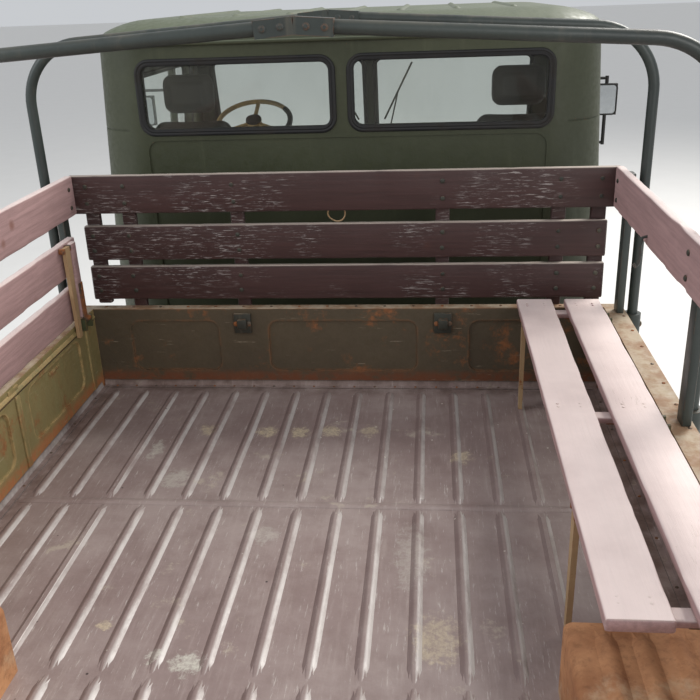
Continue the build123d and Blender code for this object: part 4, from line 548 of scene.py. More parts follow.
LOOKS = {
    "floor": floor_paint(),
    "wall": wall_steel(),
    "box": box_rust(),
    "cab": cab_paint(),
    "bow": painted("bow_paint", srgb(46, 53, 51), srgb(62, 69, 65), 0.08, 0.45, 0.15),
    "frame": painted("frame_paint", srgb(44, 46, 40), srgb(62, 62, 52), 0.35, 0.66, 0.5),
    "outer": painted("outer_paint", srgb(72, 76, 52), srgb(92, 94, 66), 0.3, 0.58, 0.3),
    "rim": painted("rim_paint", srgb(64, 68, 50), srgb(84, 86, 64), 0.25, 0.6, 0.5),
    "leg": painted("leg_paint", srgb(172, 142, 106), srgb(200, 172, 132), 0.4, 0.7, 0.2),
    "inside": painted("inside_paint", srgb(70, 76, 58), srgb(88, 92, 72), 0.05, 0.55, 0.2),
    # The last colour of each board paint goes on its upward faces: a painted highlight over sun-faded paint.
    "maroon": board_paint("maroon_boards", srgb(68, 44, 42), srgb(182, 174, 170), "X", 0.62,
                          srgb(190, 176, 164)),
    "pink_slat": board_paint("pink_slats", srgb(186, 152, 150), srgb(222, 206, 192), "Y", 0.25,
                             srgb(238, 220, 214)),
    "cast": greasy("dirty_castings", srgb(52, 50, 46)),
    "engine": greasy("engine_paint", srgb(70, 74, 76)),
    "tyre": rubber("tyre_rubber", srgb(34, 33, 32), 0.55),
    "gasket": rubber("gasket_rubber", srgb(24, 24, 25), 0.12),
    "flap": rubber("flap_rubber", srgb(30, 30, 30), 0.5),
    "trim": rubber("black_trim", srgb(22, 22, 22), 0.15),
    "bolt": metal("rusty_bolts", srgb(122, 112, 100), 0.9, 0.55),
    "steel": metal("plated_steel", srgb(176, 174, 168), 0.2, 0.3),
    "mirror": metal("mirror_glass", srgb(214, 218, 220), 0.0, 0.04),
    "glass": glass("window_glass", (0.95, 0.97, 0.955), 0.04),
    "vinyl": vinyl("seat_vinyl", srgb(46, 42, 40)),
    "tan": vinyl("wheel_rim_tan", srgb(186, 154, 106)),
    "clear": lens("clear_lens", srgb(206, 208, 204)),
    "amber": lens("amber_lens", srgb(214, 116, 30)),
    "red": lens("red_lens", srgb(150, 20, 16)),
}
# Look of each solid: starts of node names, the longest that fits counts
NODE_LOOKS = {
    "cab": "cab_rear_wall cab_front_panel cab_side_frames cab_roof door_left door_right",
    "inside": "cab_floor engine_cover dashboard seat_frames", "glass": "door_glass cab_windows",
    "outer": "bench_hinges front_bumper fuel_tanks grille", "wall": "bed_front_wall bed_side_walls tailgate",
    "frame": "leaf_springs ladder_frame tow_fittings bed_bearers", "engine": "engine_block",
    "cast": "steering_knuckle front_axle rear_axle drive_line", "floor": "bed_floor", "box": "wheel_boxes",
    "pink_slat": "side_boards bench_front bench_rear", "leg": "bench_legs", "maroon": "front_boards",
    "trim": "steering_column tail_lamps mirrors", "tyre": "tyre", "rim": "wheel_", "bolt": "exhaust",
    "tan": "steering_wheel", "gasket": "window_seals", "flap": "mudguards", "clear": "front_lamps",
    "vinyl": "seat_cushions", "bow": "bows",
}


def paint_solids():
    """Give every solid its look."""
    starts = [(len(start), start, look) for look, names in NODE_LOOKS.items() for start in names.split()]
    for node, thing in NODES.items():
        thing.data.materials.clear()
        thing.data.materials.append(LOOKS[max(row for row in starts if node.startswith(row[1]))[2]])


# Shapes

def turns(count, start=0.0):
    """Evenly spaced angles round a circle."""
    return [start + 2 * math.pi * step / count for step in range(count)]


def circle(centre, first, second, radius, count, start=0.0):
    """Points round a centre, in the plane of two directions."""
    return [centre + (first * math.cos(turn) + second * math.sin(turn)) * radius
            for turn in turns(count, start)]


def rounded(width, height, radius, steps=5):
    """Points of a rounded rectangle about the origin."""
    points = []
    for right, top, start in ((1, 1, 0), (-1, 1, 90), (-1, -1, 180), (1, -1, 270)):
        for step in range(steps + 1):
            angle = math.radians(start + 90 * step / steps)
            points.append((right * (width / 2 - radius) + radius * math.cos(angle),
                           top * (height / 2 - radius) + radius * math.sin(angle)))
    return points


def directed(points, loop):
    """Each point of a path with the path's direction there."""
    points = [Vector(point) for point in points]
    last = len(points) - 1
    for place, point in enumerate(points):
        before = points[place - 1] if place > 0 or loop else point
        after = points[(place + 1) % len(points)] if place < last or loop else point
        yield point, (after - before).normalized()


def ordered(first, second):
    """The low and high corner of a box, two opposite ones given."""
    return Vector(map(min, first, second)), Vector(map(max, first, second))


class Piece:
    """Shapes of one look that ride together on one body."""

    def __init__(self, name, body, look, slot=None, hides=(), turn=None, angle=35):
        self.name = name
        self.body = body
        self.look = look
        self.slot = slot
        self.hides = hides
        self.turn = turn
        self.angle = angle
        self.mesh = bmesh.new()

    def skin(self, rings, loop=False, caps=True):
        """Join a row of equal rings of points; a loop joins the last to the first."""
        rows = [[self.mesh.verts.new(point) for point in ring] for ring in rings]
        pairs = list(zip(rows, rows[1:]))
        if loop:
            pairs.append((rows[-1], rows[0]))
        for first, second in pairs:
            for place in range(len(first)):
                after = (place + 1) % len(first)
                self.mesh.faces.new((first[place], first[after], second[after], second[place]))
        if caps and not loop:
            self.mesh.faces.new(list(reversed(rows[0])))
            self.mesh.faces.new(rows[-1])

    def turned(self, centre, axis, outline, steps=24, start=0.0, hollow=False):
        """A turned shape; the outline holds (distance along the axis, radius)."""
        axis = Vector(axis).normalized()
        side = axis.orthogonal().normalized()
        other = axis.cross(side)
        rings = [circle(Vector(centre) + axis * along, side, other, radius, steps, start)
                 for along, radius in outline]
        self.skin(rings, loop=hollow, caps=not hollow)

    def tube(self, points, radius, sides=10, loop=False):
        """A round bar along a path."""
        rings = []
        normal = None
        for point, along in directed(points, loop):
            if normal is None:
                normal = along.orthogonal().normalized()
            normal = (normal - along * normal.dot(along)).normalized()
            rings.append(circle(point, normal, along.cross(normal), radius, sides))
        self.skin(rings, loop=loop)

    def moulding(self, points, up, section, loop=False):
        """A section of (across, up) points drawn along a path."""
        up = Vector(up).normalized()
        rings = []
        for point, along in directed(points, loop):
            across = along.cross(up).normalized()
            rings.append([point + across * aside + up * rise for aside, rise in section])
        self.skin(rings, loop=loop)

    def block(self, first, second, bevel=0.003, segments=2):
        """A box between two corners, its edges rounded."""
        low, high = ordered(first, second)
        size = Matrix.Diagonal((*(high - low), 1))
        made = bmesh.ops.create_cube(self.mesh, size=1, matrix=Matrix.Translation((low + high) / 2) @ size)
        edges = list({edge for vert in made["verts"] for edge in vert.link_edges})
        bmesh.ops.bevel(self.mesh, geom=edges, offset=bevel, segments=segments, profile=0.5, affect="EDGES")

    def plank(self, first, second, seed, wear=0.006):
        """A board between two corners, its edges rounded and nibbled."""
        rounding = 0.006
        pace = 0.035
        low, high = ordered(first, second)
        size = high - low
        run = max(range(3), key=lambda axis: size[axis])
        wide, thick = [axis for axis in range(3) if axis != run]
        count = max(2, int(size[run] / pace))
        places = [0, rounding * 0.5] + [size[run] * step / count for step in range(1, count)]
        places += [size[run] - rounding * 0.5, size[run]]
        section = rounded(size[wide], size[thick], rounding, 3)
        rings = []
        for order, place in enumerate(places):
            end = rounding * 0.6 if order in (0, len(places) - 1) else 0
            ring = []
            for across, up in section:
                corner = (abs(across) / size[wide] * 2 * abs(up) / size[thick] * 2) ** 3
                where = Vector((place * 13 + seed * 7.3, across * 9, up * 9 + seed))
                bite = max(0.0, noise.noise(where)) * wear * corner + 0.0006 * noise.noise(where * 0.4)
                point = Vector((0, 0, 0))
                point[run] = place
                point[wide] = size[wide] / 2 + across - math.copysign(min(abs(across), bite + end), across)
                point[thick] = size[thick] / 2 + up - math.copysign(min(abs(up), bite * 0.7 + end), up)
                ring.append(low + point)
            rings.append(ring)
        self.skin(rings)

    def bolt(self, place, axis, size=0.009, washer=True):
        """A hexagon head on a washer."""
        if washer:
            self.turned(place, axis, ((-0.001, size * 1.45), (0.0016, size * 1.45), (0.0022, size * 1.3)), 14)
        self.turned(place, axis, ((0.0, size), (size * 0.55, size), (size * 0.68, size * 0.84)), 6)

    def dome(self, place, axis, radius=0.008):
        """A round head of a carriage bolt or rivet."""
        outline = ((-0.001, 1), (0.25 * radius, 0.95), (0.45 * radius, 0.7), (0.56 * radius, 0.3))
        self.turned(place, axis, [(along, radius * share) for along, share in outline], 12)

    def done(self):
        """Make the object, shade it, and let it ride."""
        bmesh.ops.recalc_face_normals(self.mesh, faces=self.mesh.faces)
        if self.turn:
            bmesh.ops.transform(self.mesh, matrix=self.turn, verts=self.mesh.verts)
        data = bpy.data.meshes.new(self.name)
        self.mesh.to_mesh(data)
        self.mesh.free()
        for face in data.polygons:
            face.use_smooth = True
        data.set_sharp_from_angle(angle=math.radians(self.angle))
        data.materials.append(LOOKS[self.look])
        thing = add_object(self.name, data)
        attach(thing, self.body)
        if self.hides:
            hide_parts(*self.hides)


PIECES = []


def piece(*facts, **more):
    """A new piece, made into an object when all shapes are in."""
    PIECES.append(Piece(*facts, **more))
    return PIECES[-1]


def about_hinge(side, degrees):
    """A turn about a bench's hinge line."""
    pivot = Vector((side * HINGE_X, 0, HINGE_Z))
    turn = Matrix.Rotation(math.radians(degrees), 4, "Y")
    return Matrix.Translation(pivot) @ turn @ Matrix.Translation(-pivot)


def wall_x(z):
    """How far out the cab's side stands at a height."""
    return CAB_HALF - max(0.0, z - BELT) * math.tan(CAB_LEAN)


def screen_point(x, up, out=0.0):
    """A point on the windscreen's outer face, its way up the slope and out of it given."""
    return Vector((x, CAB_FRONT - up * math.sin(SCREEN_TILT) + out * math.cos(SCREEN_TILT),
                   BELT + up * math.cos(SCREEN_TILT) + out * math.sin(SCREEN_TILT)))


# Wheels

# half of a tyre's outline: across, radius
TYRE_HALF = (
    (0.1075, 0.236), (0.1085, 0.250), (0.114, 0.262), (0.128, 0.276), (0.141, 0.298), (0.149, 0.325),
    (0.1515, 0.330), (0.1535, 0.336), (0.1545, 0.365), (0.1550, 0.385), (0.1540, 0.410), (0.1515, 0.440),
    (0.1525, 0.446), (0.1490, 0.452), (0.1455, 0.468), (0.1420, 0.482), (0.1370, 0.496), (0.1300, 0.509),
    (0.1200, 0.5175), (0.090, 0.5195), (0.030, 0.5200),
)
# a lug, from the middle out: across, height of the crown, share of the width, lean round the tyre
LUG = ((0.003, 0.5315, 0.80, 0.00), (0.008, 0.5385, 0.92, 0.01), (0.055, 0.5395, 1.00, 0.05),
       (0.104, 0.5385, 1.04, 0.10), (0.122, 0.5320, 1.02, 0.12), (0.133, 0.5170, 0.98, 0.13),
       (0.143, 0.4950, 0.90, 0.13), (0.1475, 0.4720, 0.80, 0.13))
LUGS = 20


def tyre_centre(name):
    """The middle of a tyre."""
    low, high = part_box(name)
    return Vector(((low.x + high.x) / 2, (low.y + high.y) / 2, TYRE_RADIUS))


def tyre(name, body, side):
    """A tyre with two staggered rows of chunky lugs and ringed walls."""
    centre = tyre_centre(name)
    tread = piece(f"{name}_tread", body, "tyre", "tyre", [name], angle=40)
    outline = [*TYRE_HALF, *((-across, radius) for across, radius in reversed(TYRE_HALF))]
    tread.turned(centre, (1, 0, 0), outline + [(-0.1000, 0.236), (0.1000, 0.236)], 96, hollow=True)
    pitch = 2 * math.pi / LUGS
    for row, hand in enumerate((-side, side)):
        for lug in range(LUGS):
            middle = (lug + row / 2) * pitch
            rings = []
            for across, crown, share, lean in LUG:
                root = min(0.516, crown - 0.010) if across < 0.125 else crown - 0.022
                ring = []
                # part of the pitch round the tyre, radius
                line = ((-0.36, root), (-0.285, crown - 0.006), (-0.25, crown), (0.0, crown + 0.0005),
                        (0.25, crown), (0.285, crown - 0.006), (0.36, root))
                for turn, radius in line:
                    angle = middle + (turn * share + lean - 0.06) * pitch
                    place = Vector((hand * across, radius * math.cos(angle), radius * math.sin(angle)))
                    ring.append(centre + place)
                rings.append(ring)
            tread.skin(rings)


def wheel_trim(name, body, side):
    """Nuts, hub ring, valve and lock ring of one wheel."""
    centre = tyre_centre(name.replace("wheel", "tyre"))
    out = Vector((side, 0, 0))
    nuts = piece(f"{name}_nuts", body, "rim", "steel_rim")
    # number, first angle, distance out, radius of the ring, size, washers
    for count, start, away, radius, size, washer in ((8, 0.2, 0.0215, 0.112, 0.0125, True),
                                                     (6, 0.0, 0.0950, 0.044, 0.006, False)):
        for place in circle(centre + out * away, Vector((0, 1, 0)), Vector((0, 0, 1)), radius, count, start):
            nuts.bolt(place, out, size, washer)
    nuts.turned(centre, out, ((0.0955, 0.030), (0.105, 0.030), (0.109, 0.025)))
    ring = ((0.112, 0.236), (0.121, 0.236), (0.124, 0.243), (0.121, 0.250), (0.112, 0.250))
    nuts.turned(centre, out, ring, 72, hollow=True)
    stem = centre + Vector((0, 0.198, 0.03))
    nuts.tube([stem + out * away for away in (0.058, 0.085, 0.105)], 0.006, 8)


# Boards and benches

# half length, low and high edge above the floor
FRONT_ROWS = ((1.015, 0.381, 0.521), (1.015, 0.547, 0.687), (1.050, 0.736, 0.886))


def front_boards():
    """The three boards behind the cab with their posts, end battens and bolts."""
    planks = piece("front_planks", "chassis", "maroon", "board_paint", ["front_boards"])
    bolts = piece("front_plank_bolts", "chassis", "frame", "frame_paint")
    back = BOARD_Y + BOARD_THICK
    for seed, (half, low, high) in enumerate(FRONT_ROWS):
        planks.plank((-half, BOARD_Y, FLOOR + low), (half, back, FLOOR + high), seed + 1, 0.012)
        for x in (*POST_X, -0.984, 0.984):
            for share in (0.28, 0.72):
                z = FLOOR + low + (high - low) * share
                shift = 0.006 * noise.noise(Vector((x * 9, z * 9, 0.3)))
                bolts.dome((x + shift, BOARD_Y + 0.0005, z), (0, -1, 0), 0.009)
    # edges across, foot, seed
    posts = [(x - 0.027, x + 0.027, FLOOR + 0.095, seed + 11) for seed, x in enumerate(POST_X)]
    posts += [(side * 0.955, side * 1.012, WALL_TOP + 0.010, 21 + side) for side in HANDS]
    for near, far, foot, seed in posts:
        planks.plank((near, back, foot), (far, back + POST_THICK, BOARD_TOP - 0.020), seed)


def side_boards():
    """The fixed top boards of both sides, their posts and bolts."""
    planks = piece("side_planks", "chassis", "pink_slat", "board_paint", ["side_boards"])
    posts = piece("side_posts", "chassis", "bow", "frame_paint")
    bolts = piece("side_plank_bolts", "chassis", "frame", "frame_paint")
    for side in HANDS:
        near, back, far = (side * (SIDE_SLAT_X + out) for out in (0.0, BOARD_THICK, BOARD_THICK + POST_THICK))
        planks.plank((near, BED_REAR + 0.008, BOARD_TOP - 0.150), (back, BED_FRONT, BOARD_TOP),
                     31 + side, 0.010)
        for y in SIDE_POST_Y:
            posts.block((back, y - 0.027, WALL_TOP), (far, y + 0.027, BOARD_TOP - 0.015), 0.005)
            for z in (BOARD_TOP - 0.115, BOARD_TOP - 0.045):
                bolts.dome((near + side * 0.0005, y, z), (-side, 0, 0), 0.009)
                bolts.bolt((far, y, z), (side, 0, 0), 0.008)


def bench(side, name, place):
    """One bench: two slats on three battens, with straps, nails and leg ears."""
    near, far, legs = BENCHES[place]
    body = f"bench_{place}_{name}"
    turn = about_hinge(side, -90) if side == 1 and place == "front" else None
    slats = piece(f"{body}_slats", body, "pink_slat", "board_paint", [body], turn)
    fixings = piece(f"{body}_fixings", body, "bolt", "frame_paint", turn=turn)
    y0, y1 = BED_FRONT - far, BED_FRONT - near
    hinge, strap, inner, outer = (side * (HINGE_X + out) for out in (0.0, 0.0015, 0.025, 0.055))
    for seed, low in enumerate((0.010, 0.187)):
        slats.plank((inner, y0, HINGE_Z + low), (outer, y1, HINGE_Z + low + 0.131),
                    51 + 3 * seed + side + len(place), 0.010)
    for seed, y in enumerate((y1 - 0.060, (y0 + y1) / 2, y0 + 0.060)):
        slats.plank((hinge + side * 0.005, y - 0.022, HINGE_Z + 0.012),
                    (inner, y + 0.022, HINGE_Z + 0.312), 61 + seed)
        fixings.tube([(hinge, y - 0.022, HINGE_Z), (hinge, y + 0.022, HINGE_Z)], 0.010, 14)
        fixings.block((strap, y - 0.018, HINGE_Z),
                      (hinge + side * 0.0062, y + 0.018, HINGE_Z + 0.150), 0.0015, 1)
        for z in (0.035, 0.080, 0.125):
            fixings.dome((strap, y, HINGE_Z + z), (-side, 0, 0), 0.006)
        for z in (0.045, 0.105, 0.222, 0.285):
            for shift in (-0.010, 0.010):
                stray = 0.003 * noise.noise(Vector((y, z * 30, shift)))
                slats.dome((outer - side * 0.0016, y + shift + stray, HINGE_Z + z), (side, 0, 0), 0.0040)
    for back in legs:
        y = BED_FRONT - back
        pin = side * (HINGE_X + 0.008)
        for ear_y in (y - 0.027, y + 0.027):
            fixings.block((hinge, ear_y - 0.005, HINGE_Z + 0.292),
                          (inner, ear_y + 0.005, HINGE_Z + 0.312), 0.002)
        fixings.tube([(pin, y - 0.034, HINGE_Z + 0.302), (pin, y + 0.034, HINGE_Z + 0.302)], 0.006)


# Window rubber

# half of the lip's section, outside: across, out of the window
LIP = ((-0.0140, 0.000), (-0.0140, 0.004), (-0.0105, 0.0075), (-0.004, 0.0085), (-0.001, 0.0060),
       (0.002, 0.0060), (0.006, 0.0085), (0.0110, 0.0070), (0.0140, 0.003), (0.0140, 0.000))


def seal(rubbers, centre, right, up, width, height, corner):
    """A rounded rubber lip round a window, seen from outside."""
    right = Vector(right)
    up = Vector(up)
    path = [Vector(centre) + right * x + up * y for x, y in rounded(width, height, corner, 8)]
    for section in (LIP, [(across * 0.9, -0.035 - rise) for across, rise in reversed(LIP)]):
        rubbers.moulding(path, right.cross(up), section, loop=True)


def seals():
    """Seals of the doors, the rear windows and the windscreen."""
    y0, y1 = DOOR_GLASS_Y
    z0, z1 = DOOR_GLASS_Z
    for name, side in SIDES:
        door = piece(f"door_{name}_seal", f"door_{name}", "gasket", "black_rubber")
        up = (-side * math.sin(CAB_LEAN), 0, math.cos(CAB_LEAN))
        middle = (side * wall_x((z0 + z1) / 2), (y0 + y1) / 2, (z0 + z1) / 2)
        seal(door, middle, (0, side, 0), up, y1 - y0, z1 - z0, 0.060)
    cab = piece("cab_seals", "cab", "gasket", "black_rubber", ["window_seals"])
    tilt = Vector((0, -math.sin(SCREEN_TILT), math.cos(SCREEN_TILT)))
    for side in HANDS:
        seal(cab, (side * 0.430, CAB_REAR, 2.2205), (1, 0, 0), (0, 0, 1), 0.788, 0.275, 0.048)
        middle = Vector((side * 0.480, CAB_FRONT, BELT)) + tilt * 0.375
        seal(cab, middle, (-1, 0, 0), tilt, 0.900, 0.630, 0.048)


# Bed

def bed_strips():
    """The angle strips at the foot of the walls and the floor's lap seam."""
    strips = piece("bed_strips", "chassis", "floor", "bed_paint")
    # distance from the wall, height above the floor
    angle = ((0.022, 0.0005), (0.022, 0.0035), (0.004, 0.0045), (-0.0005, 0.022), (0.0, 0.028),
             (-0.003, 0.028), (-0.003, 0.0005))
    lap = ((-0.020, 0.0004), (-0.017, 0.0024), (0.012, 0.0024), (0.015, 0.0004))
    # distance behind the front wall, from the side walls, section
    for back, away, section in ((0.0005, 0.004, angle), (0.895, 0.03, lap)):
        path = [(side * (BED_INNER - away), BED_FRONT - back, FLOOR) for side in HANDS]
        strips.moulding(path, (0, 0, 1), section)
    for side in HANDS:
        for start, stop in ((BOX_FRONT + 0.002, BED_FRONT - 0.024), (BED_REAR + 0.010, BOX_REAR - 0.002)):
            path = [(side * (BED_INNER - 0.0005), y, FLOOR) for y in (start, stop)]
            strips.moulding(path, (0, 0, 1), [(-side * away, rise) for away, rise in angle])


def round_rib(ribs, x, z, y0, y1, half, height, taper):
    """A rounded rib along Y that tapers to a point at both ends, a little uneven."""
    rings = []
    count = max(8, int((y1 - y0) / 0.030))
    places = [y0, y0 + taper * 0.3, y0 + taper * 0.65]
    places += [y0 + taper + (y1 - y0 - 2 * taper) * step / count for step in range(count + 1)]
    places += [y1 - taper * 0.65, y1 - taper * 0.3, y1]
    for y in places:
        share = max(0.02, min(1.0, (y - y0) / taper, (y1 - y) / taper))
        share = share * share * (3 - 2 * share)
        uneven = noise.noise(Vector((x * 9, y * 3.1, z)))
        wide = half * (0.25 + 0.75 * share) * (1 + 0.05 * uneven)
        high = height * share * (1 + 0.05 * noise.noise(Vector((y * 5, x * 7, 2.0))))
        ring = [(x + wide * across + 0.0012 * uneven, y, z + high * math.cos(across * math.pi / 2))
                for across in (-1.0, -0.78, -0.55, -0.28, 0.0, 0.28, 0.55, 0.78, 1.0)]
        rings.append(ring + [(x, y, z - 0.001)])
    ribs.skin(rings)


def ribs():
    """Rounded ribs over the pressed ones of the floor, wheel boxes and cab roof."""
    floor = piece("floor_ribs", "chassis", "floor", "bed_paint", angle=60)
    boxes = piece("box_ribs", "chassis", "box", "bed_paint", angle=60)
    roof = piece("roof_ribs", "cab", "cab", "cab_paint", angle=60)
    # first and last y of each row, and the x beyond which it has no rib
    rows = ((BED_FRONT - 0.870, BED_FRONT - 0.060, BED_INNER),
            (BOX_FRONT + 0.020, BED_FRONT - 0.920, BED_INNER),
            (BOX_REAR - 0.020, BOX_FRONT - 0.020, 0.650),
            (BED_REAR + 0.040, BOX_REAR - 0.060, BED_INNER))
    for y0, y1, reach in rows:
        for place in range(16):
            x = (place - 7.5) * 0.127
            height = 0.0060 if abs(abs(x) - LEG_FOOT_X) < 0.020 else 0.0076
            if abs(x) + 0.028 < reach:
                round_rib(floor, x, FLOOR, y0 - 0.012, y1 + 0.012, 0.018, height, 0.042)
    for side in HANDS:
        for place in range(4):
            x = side * (0.730 + place * 0.078)
            round_rib(boxes, x, FLOOR + 0.200, BOX_REAR + 0.014, BOX_FRONT - 0.014, 0.024, 0.0105, 0.050)
    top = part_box("cab_roof")[1].z - 0.006
    for place in range(-3, 4):
        round_rib(roof, place * 0.229, top, CAB_REAR + 0.208, CAB_FRONT - 0.402, 0.017, 0.0076, 0.042)


def roof_ring(inset, z):
    """The roof's outline at a height, drawn in by an inset: wide corners behind, tighter ones in front."""
    half = CAB_HALF - 0.045 - inset
    rear = max(0.050, 0.230 - inset)
    front = 0.030 + max(0.0, inset) * 0.9
    y0 = CAB_REAR + inset
    y1 = ROOF_FRONT - inset
    points = []
    # side, y of the corner's centre, radius, first angle
    for side, y, radius, start in ((1, y1 - front, front, 0), (-1, y1 - front, front, 90),
                                   (-1, y0 + rear, rear, 180), (1, y0 + rear, rear, 270)):
        centre = Vector((side * (half - radius), y, z))
        for step in range(11):
            turn = math.radians(start + step * 9)
            points.append(centre + Vector((math.cos(turn), math.sin(turn), 0)) * radius)
    return points


def roof_skin():
    """The roof pan: a drip rail and a dome with smoothly rounded shoulders."""
    roof = piece("roof_skin", "cab", "cab", "cab_paint", ["cab_roof"], angle=50)
    # inset from the eaves, height above them
    profile = (
        (-0.011, 0.0), (-0.014, 0.003), (-0.014, 0.011), (-0.011, 0.014), (-0.002, 0.0145), (0.000, 0.019),
        (0.0025, 0.027), (0.008, 0.036), (0.018, 0.046), (0.033, 0.0555), (0.053, 0.0645), (0.078, 0.0735),
        (0.108, 0.0825), (0.140, 0.0900), (0.172, 0.0950), (0.205, 0.0975), (0.240, 0.0980), (0.300, 0.0980),
    )
    roof.skin([roof_ring(inset, EAVES + rise) for inset, rise in profile])


def wall_details():
    """The walls' fold line, the straps and slots of their pressings, and dark brackets in front."""
    walls = piece("wall_details", "chassis", "wall", "bed_paint")
    dark = piece("wall_brackets", "chassis", "frame", "frame_paint")
    slots = piece("wall_slots", "chassis", "wall", "bed_paint")
    fold = ((-0.011, 0.0), (-0.006, 0.006), (0.0, 0.009), (0.006, 0.006), (0.011, 0.0))
    for x in BRACKET_X:
        # half width, near and far distance behind the front wall, low and high edge, rounding
        for half, near, far, low, high, bevel in ((0.036, 0.014, -0.001, 0.240, 0.326, 0.005),
                                                  (0.020, 0.030, 0.012, 0.262, 0.304, 0.006)):
            dark.block((x - half, BED_FRONT - near, FLOOR + low),
                       (x + half, BED_FRONT - far, FLOOR + high), bevel)
    for side in HANDS:
        inner = side * (BED_INNER + 0.0005)
        path = [(inner, BED_REAR + 0.02, FLOOR + 0.312), (inner, BED_FRONT - 0.01, FLOOR + 0.312)]
        walls.moulding(path, (-side, 0, 0), fold)

        def strip(target, near, far, y0, y1, low, high, bevel, segments=2):
            """A block on the wall, its faces given from the wall outwards."""
            target.block((side * (BED_INNER + near), y0, FLOOR + low),
                         (side * (BED_INNER + far), y1, FLOOR + high), bevel, segments)

        strip(dark, 0.001, -0.0012, BED_REAR + 0.02, BED_FRONT - 0.012, 0.2985, 0.3025, 0.0004, 1)
        for step in range(5):
            y = BED_FRONT - 0.104 - step * PRESSING_PITCH
            strip(walls, 0.0005, -0.0065, y - 0.014, y + 0.014, 0.030, 0.300, 0.003)
            y = BED_FRONT - 0.416 - step * PRESSING_PITCH
            strip(slots, 0.0085, 0.0035, y - 0.045, y + 0.045, 0.250, 0.262, 0.002)
            strip(slots, 0.001, -0.004, y + 0.260, y + 0.330, 0.318, 0.336, 0.0018)


def bed_bolts():
    """Rivets of the strips and walls and bolts of the bow sockets and ridges."""
    bolts = piece("bed_bolts", "chassis", "bolt", "frame_paint")
    for x in BRACKET_X:
        for shift in (-0.026, 0.026):
            bolts.bolt((x + shift, BED_FRONT - 0.014, FLOOR + 0.283), (0, -1, 0), 0.007)
    # number, distance from the side walls and behind the front wall, height, radius
    for count, away, back, z, radius in ((24, 0.06, 0.012, FLOOR + 0.004, 0.005),
                                         (18, 0.05, -0.020, WALL_TOP, 0.006)):
        for step in range(count):
            x = (BED_INNER - away) * (2 * step / (count - 1) - 1)
            bolts.dome((x, BED_FRONT - back, z), (0, 0, 1), radius)
    for side in HANDS:
        for step in range(14):
            y = BED_FRONT - 0.14 - step * 0.225
            if not BOX_REAR - 0.03 < y < BOX_FRONT + 0.03:
                bolts.dome((side * (BED_INNER - 0.012), y, FLOOR + 0.004), (0, 0, 1), 0.005)
        for step in range(22):
            y = BED_FRONT - 0.10 - step * 0.150
            bolts.dome((side * (BED_INNER + 0.055), y, WALL_TOP), (0, 0, 1), 0.006)
            bolts.dome((side * WALL_OUTER, y + 0.02, FLOOR + 0.005), (side, 0, 0), 0.007)
        for step in range(5):
            y = BED_FRONT - 0.020 - step * BOW_PITCH
            for z in (0.172, 0.230, 0.300):
                bolts.bolt((side * (BED_INNER + 0.040), y - 0.047, FLOOR + z), (side, 0, 0), 0.007)
            bolts.bolt((side * (BOW_X + 0.0325), y, FLOOR + 0.285), (side, 0, 0), 0.009)
    sleeves = piece("bow_bolts", "chassis", "bow", "frame_paint")
    for step in range(2):
        y = BED_FRONT - 0.020 - step * BOW_PITCH
        for x in (-0.082, -0.034, 0.034, 0.082):
            for face in HANDS:
                sleeves.bolt((x, y + face * 0.0230, BOW_RIDGE - abs(x) * BOW_SLOPE), (0, face, 0), 0.007)


def bed_hooks():
    """Rope hooks along the bed, the hook on the right top board and a wire ring behind the boards."""
    hooks = piece("bed_hooks", "chassis", "bow", "frame_paint")
    for side in HANDS:
        for step in range(9):
            y = BED_FRONT - 0.22 - step * 0.36
            hooks.block((side * (WALL_OUTER - 0.001), y - 0.016, FLOOR - 0.008),
                        (side * (WALL_OUTER + 0.004), y + 0.016, FLOOR + 0.024), 0.0015)
            hooks.tube([(side * (WALL_OUTER + across), y, FLOOR + rise) for across, rise in
                        ((0.002, 0.012), (0.014, 0.010), (0.021, 0.000), (0.022, -0.014), (0.016, -0.026),
                         (0.008, -0.028))], 0.0045, 8)
    hooks.tube([(SIDE_SLAT_X - across, along, FLOOR + rise) for across, along, rise in
                ((-0.004, 0.016, 0.772), (0.014, 0.014, 0.768), (0.020, 0.010, 0.745), (0.018, 0.002, 0.715),
                 (0.026, -0.012, 0.690), (0.036, -0.020, 0.684), (0.042, -0.024, 0.694))], 0.0050, 8)
    ring = piece("wire_ring", "chassis", "leg", "bed_paint")
    middle = Vector((-0.010, BED_FRONT + 0.052, FLOOR + 0.716))
    ring.tube([middle + Vector((0.034 * math.cos(turn), 0.010 * math.sin(2 * turn), 0.030 * math.sin(turn)))
               for turn in turns(20)], 0.0030, 8, loop=True)


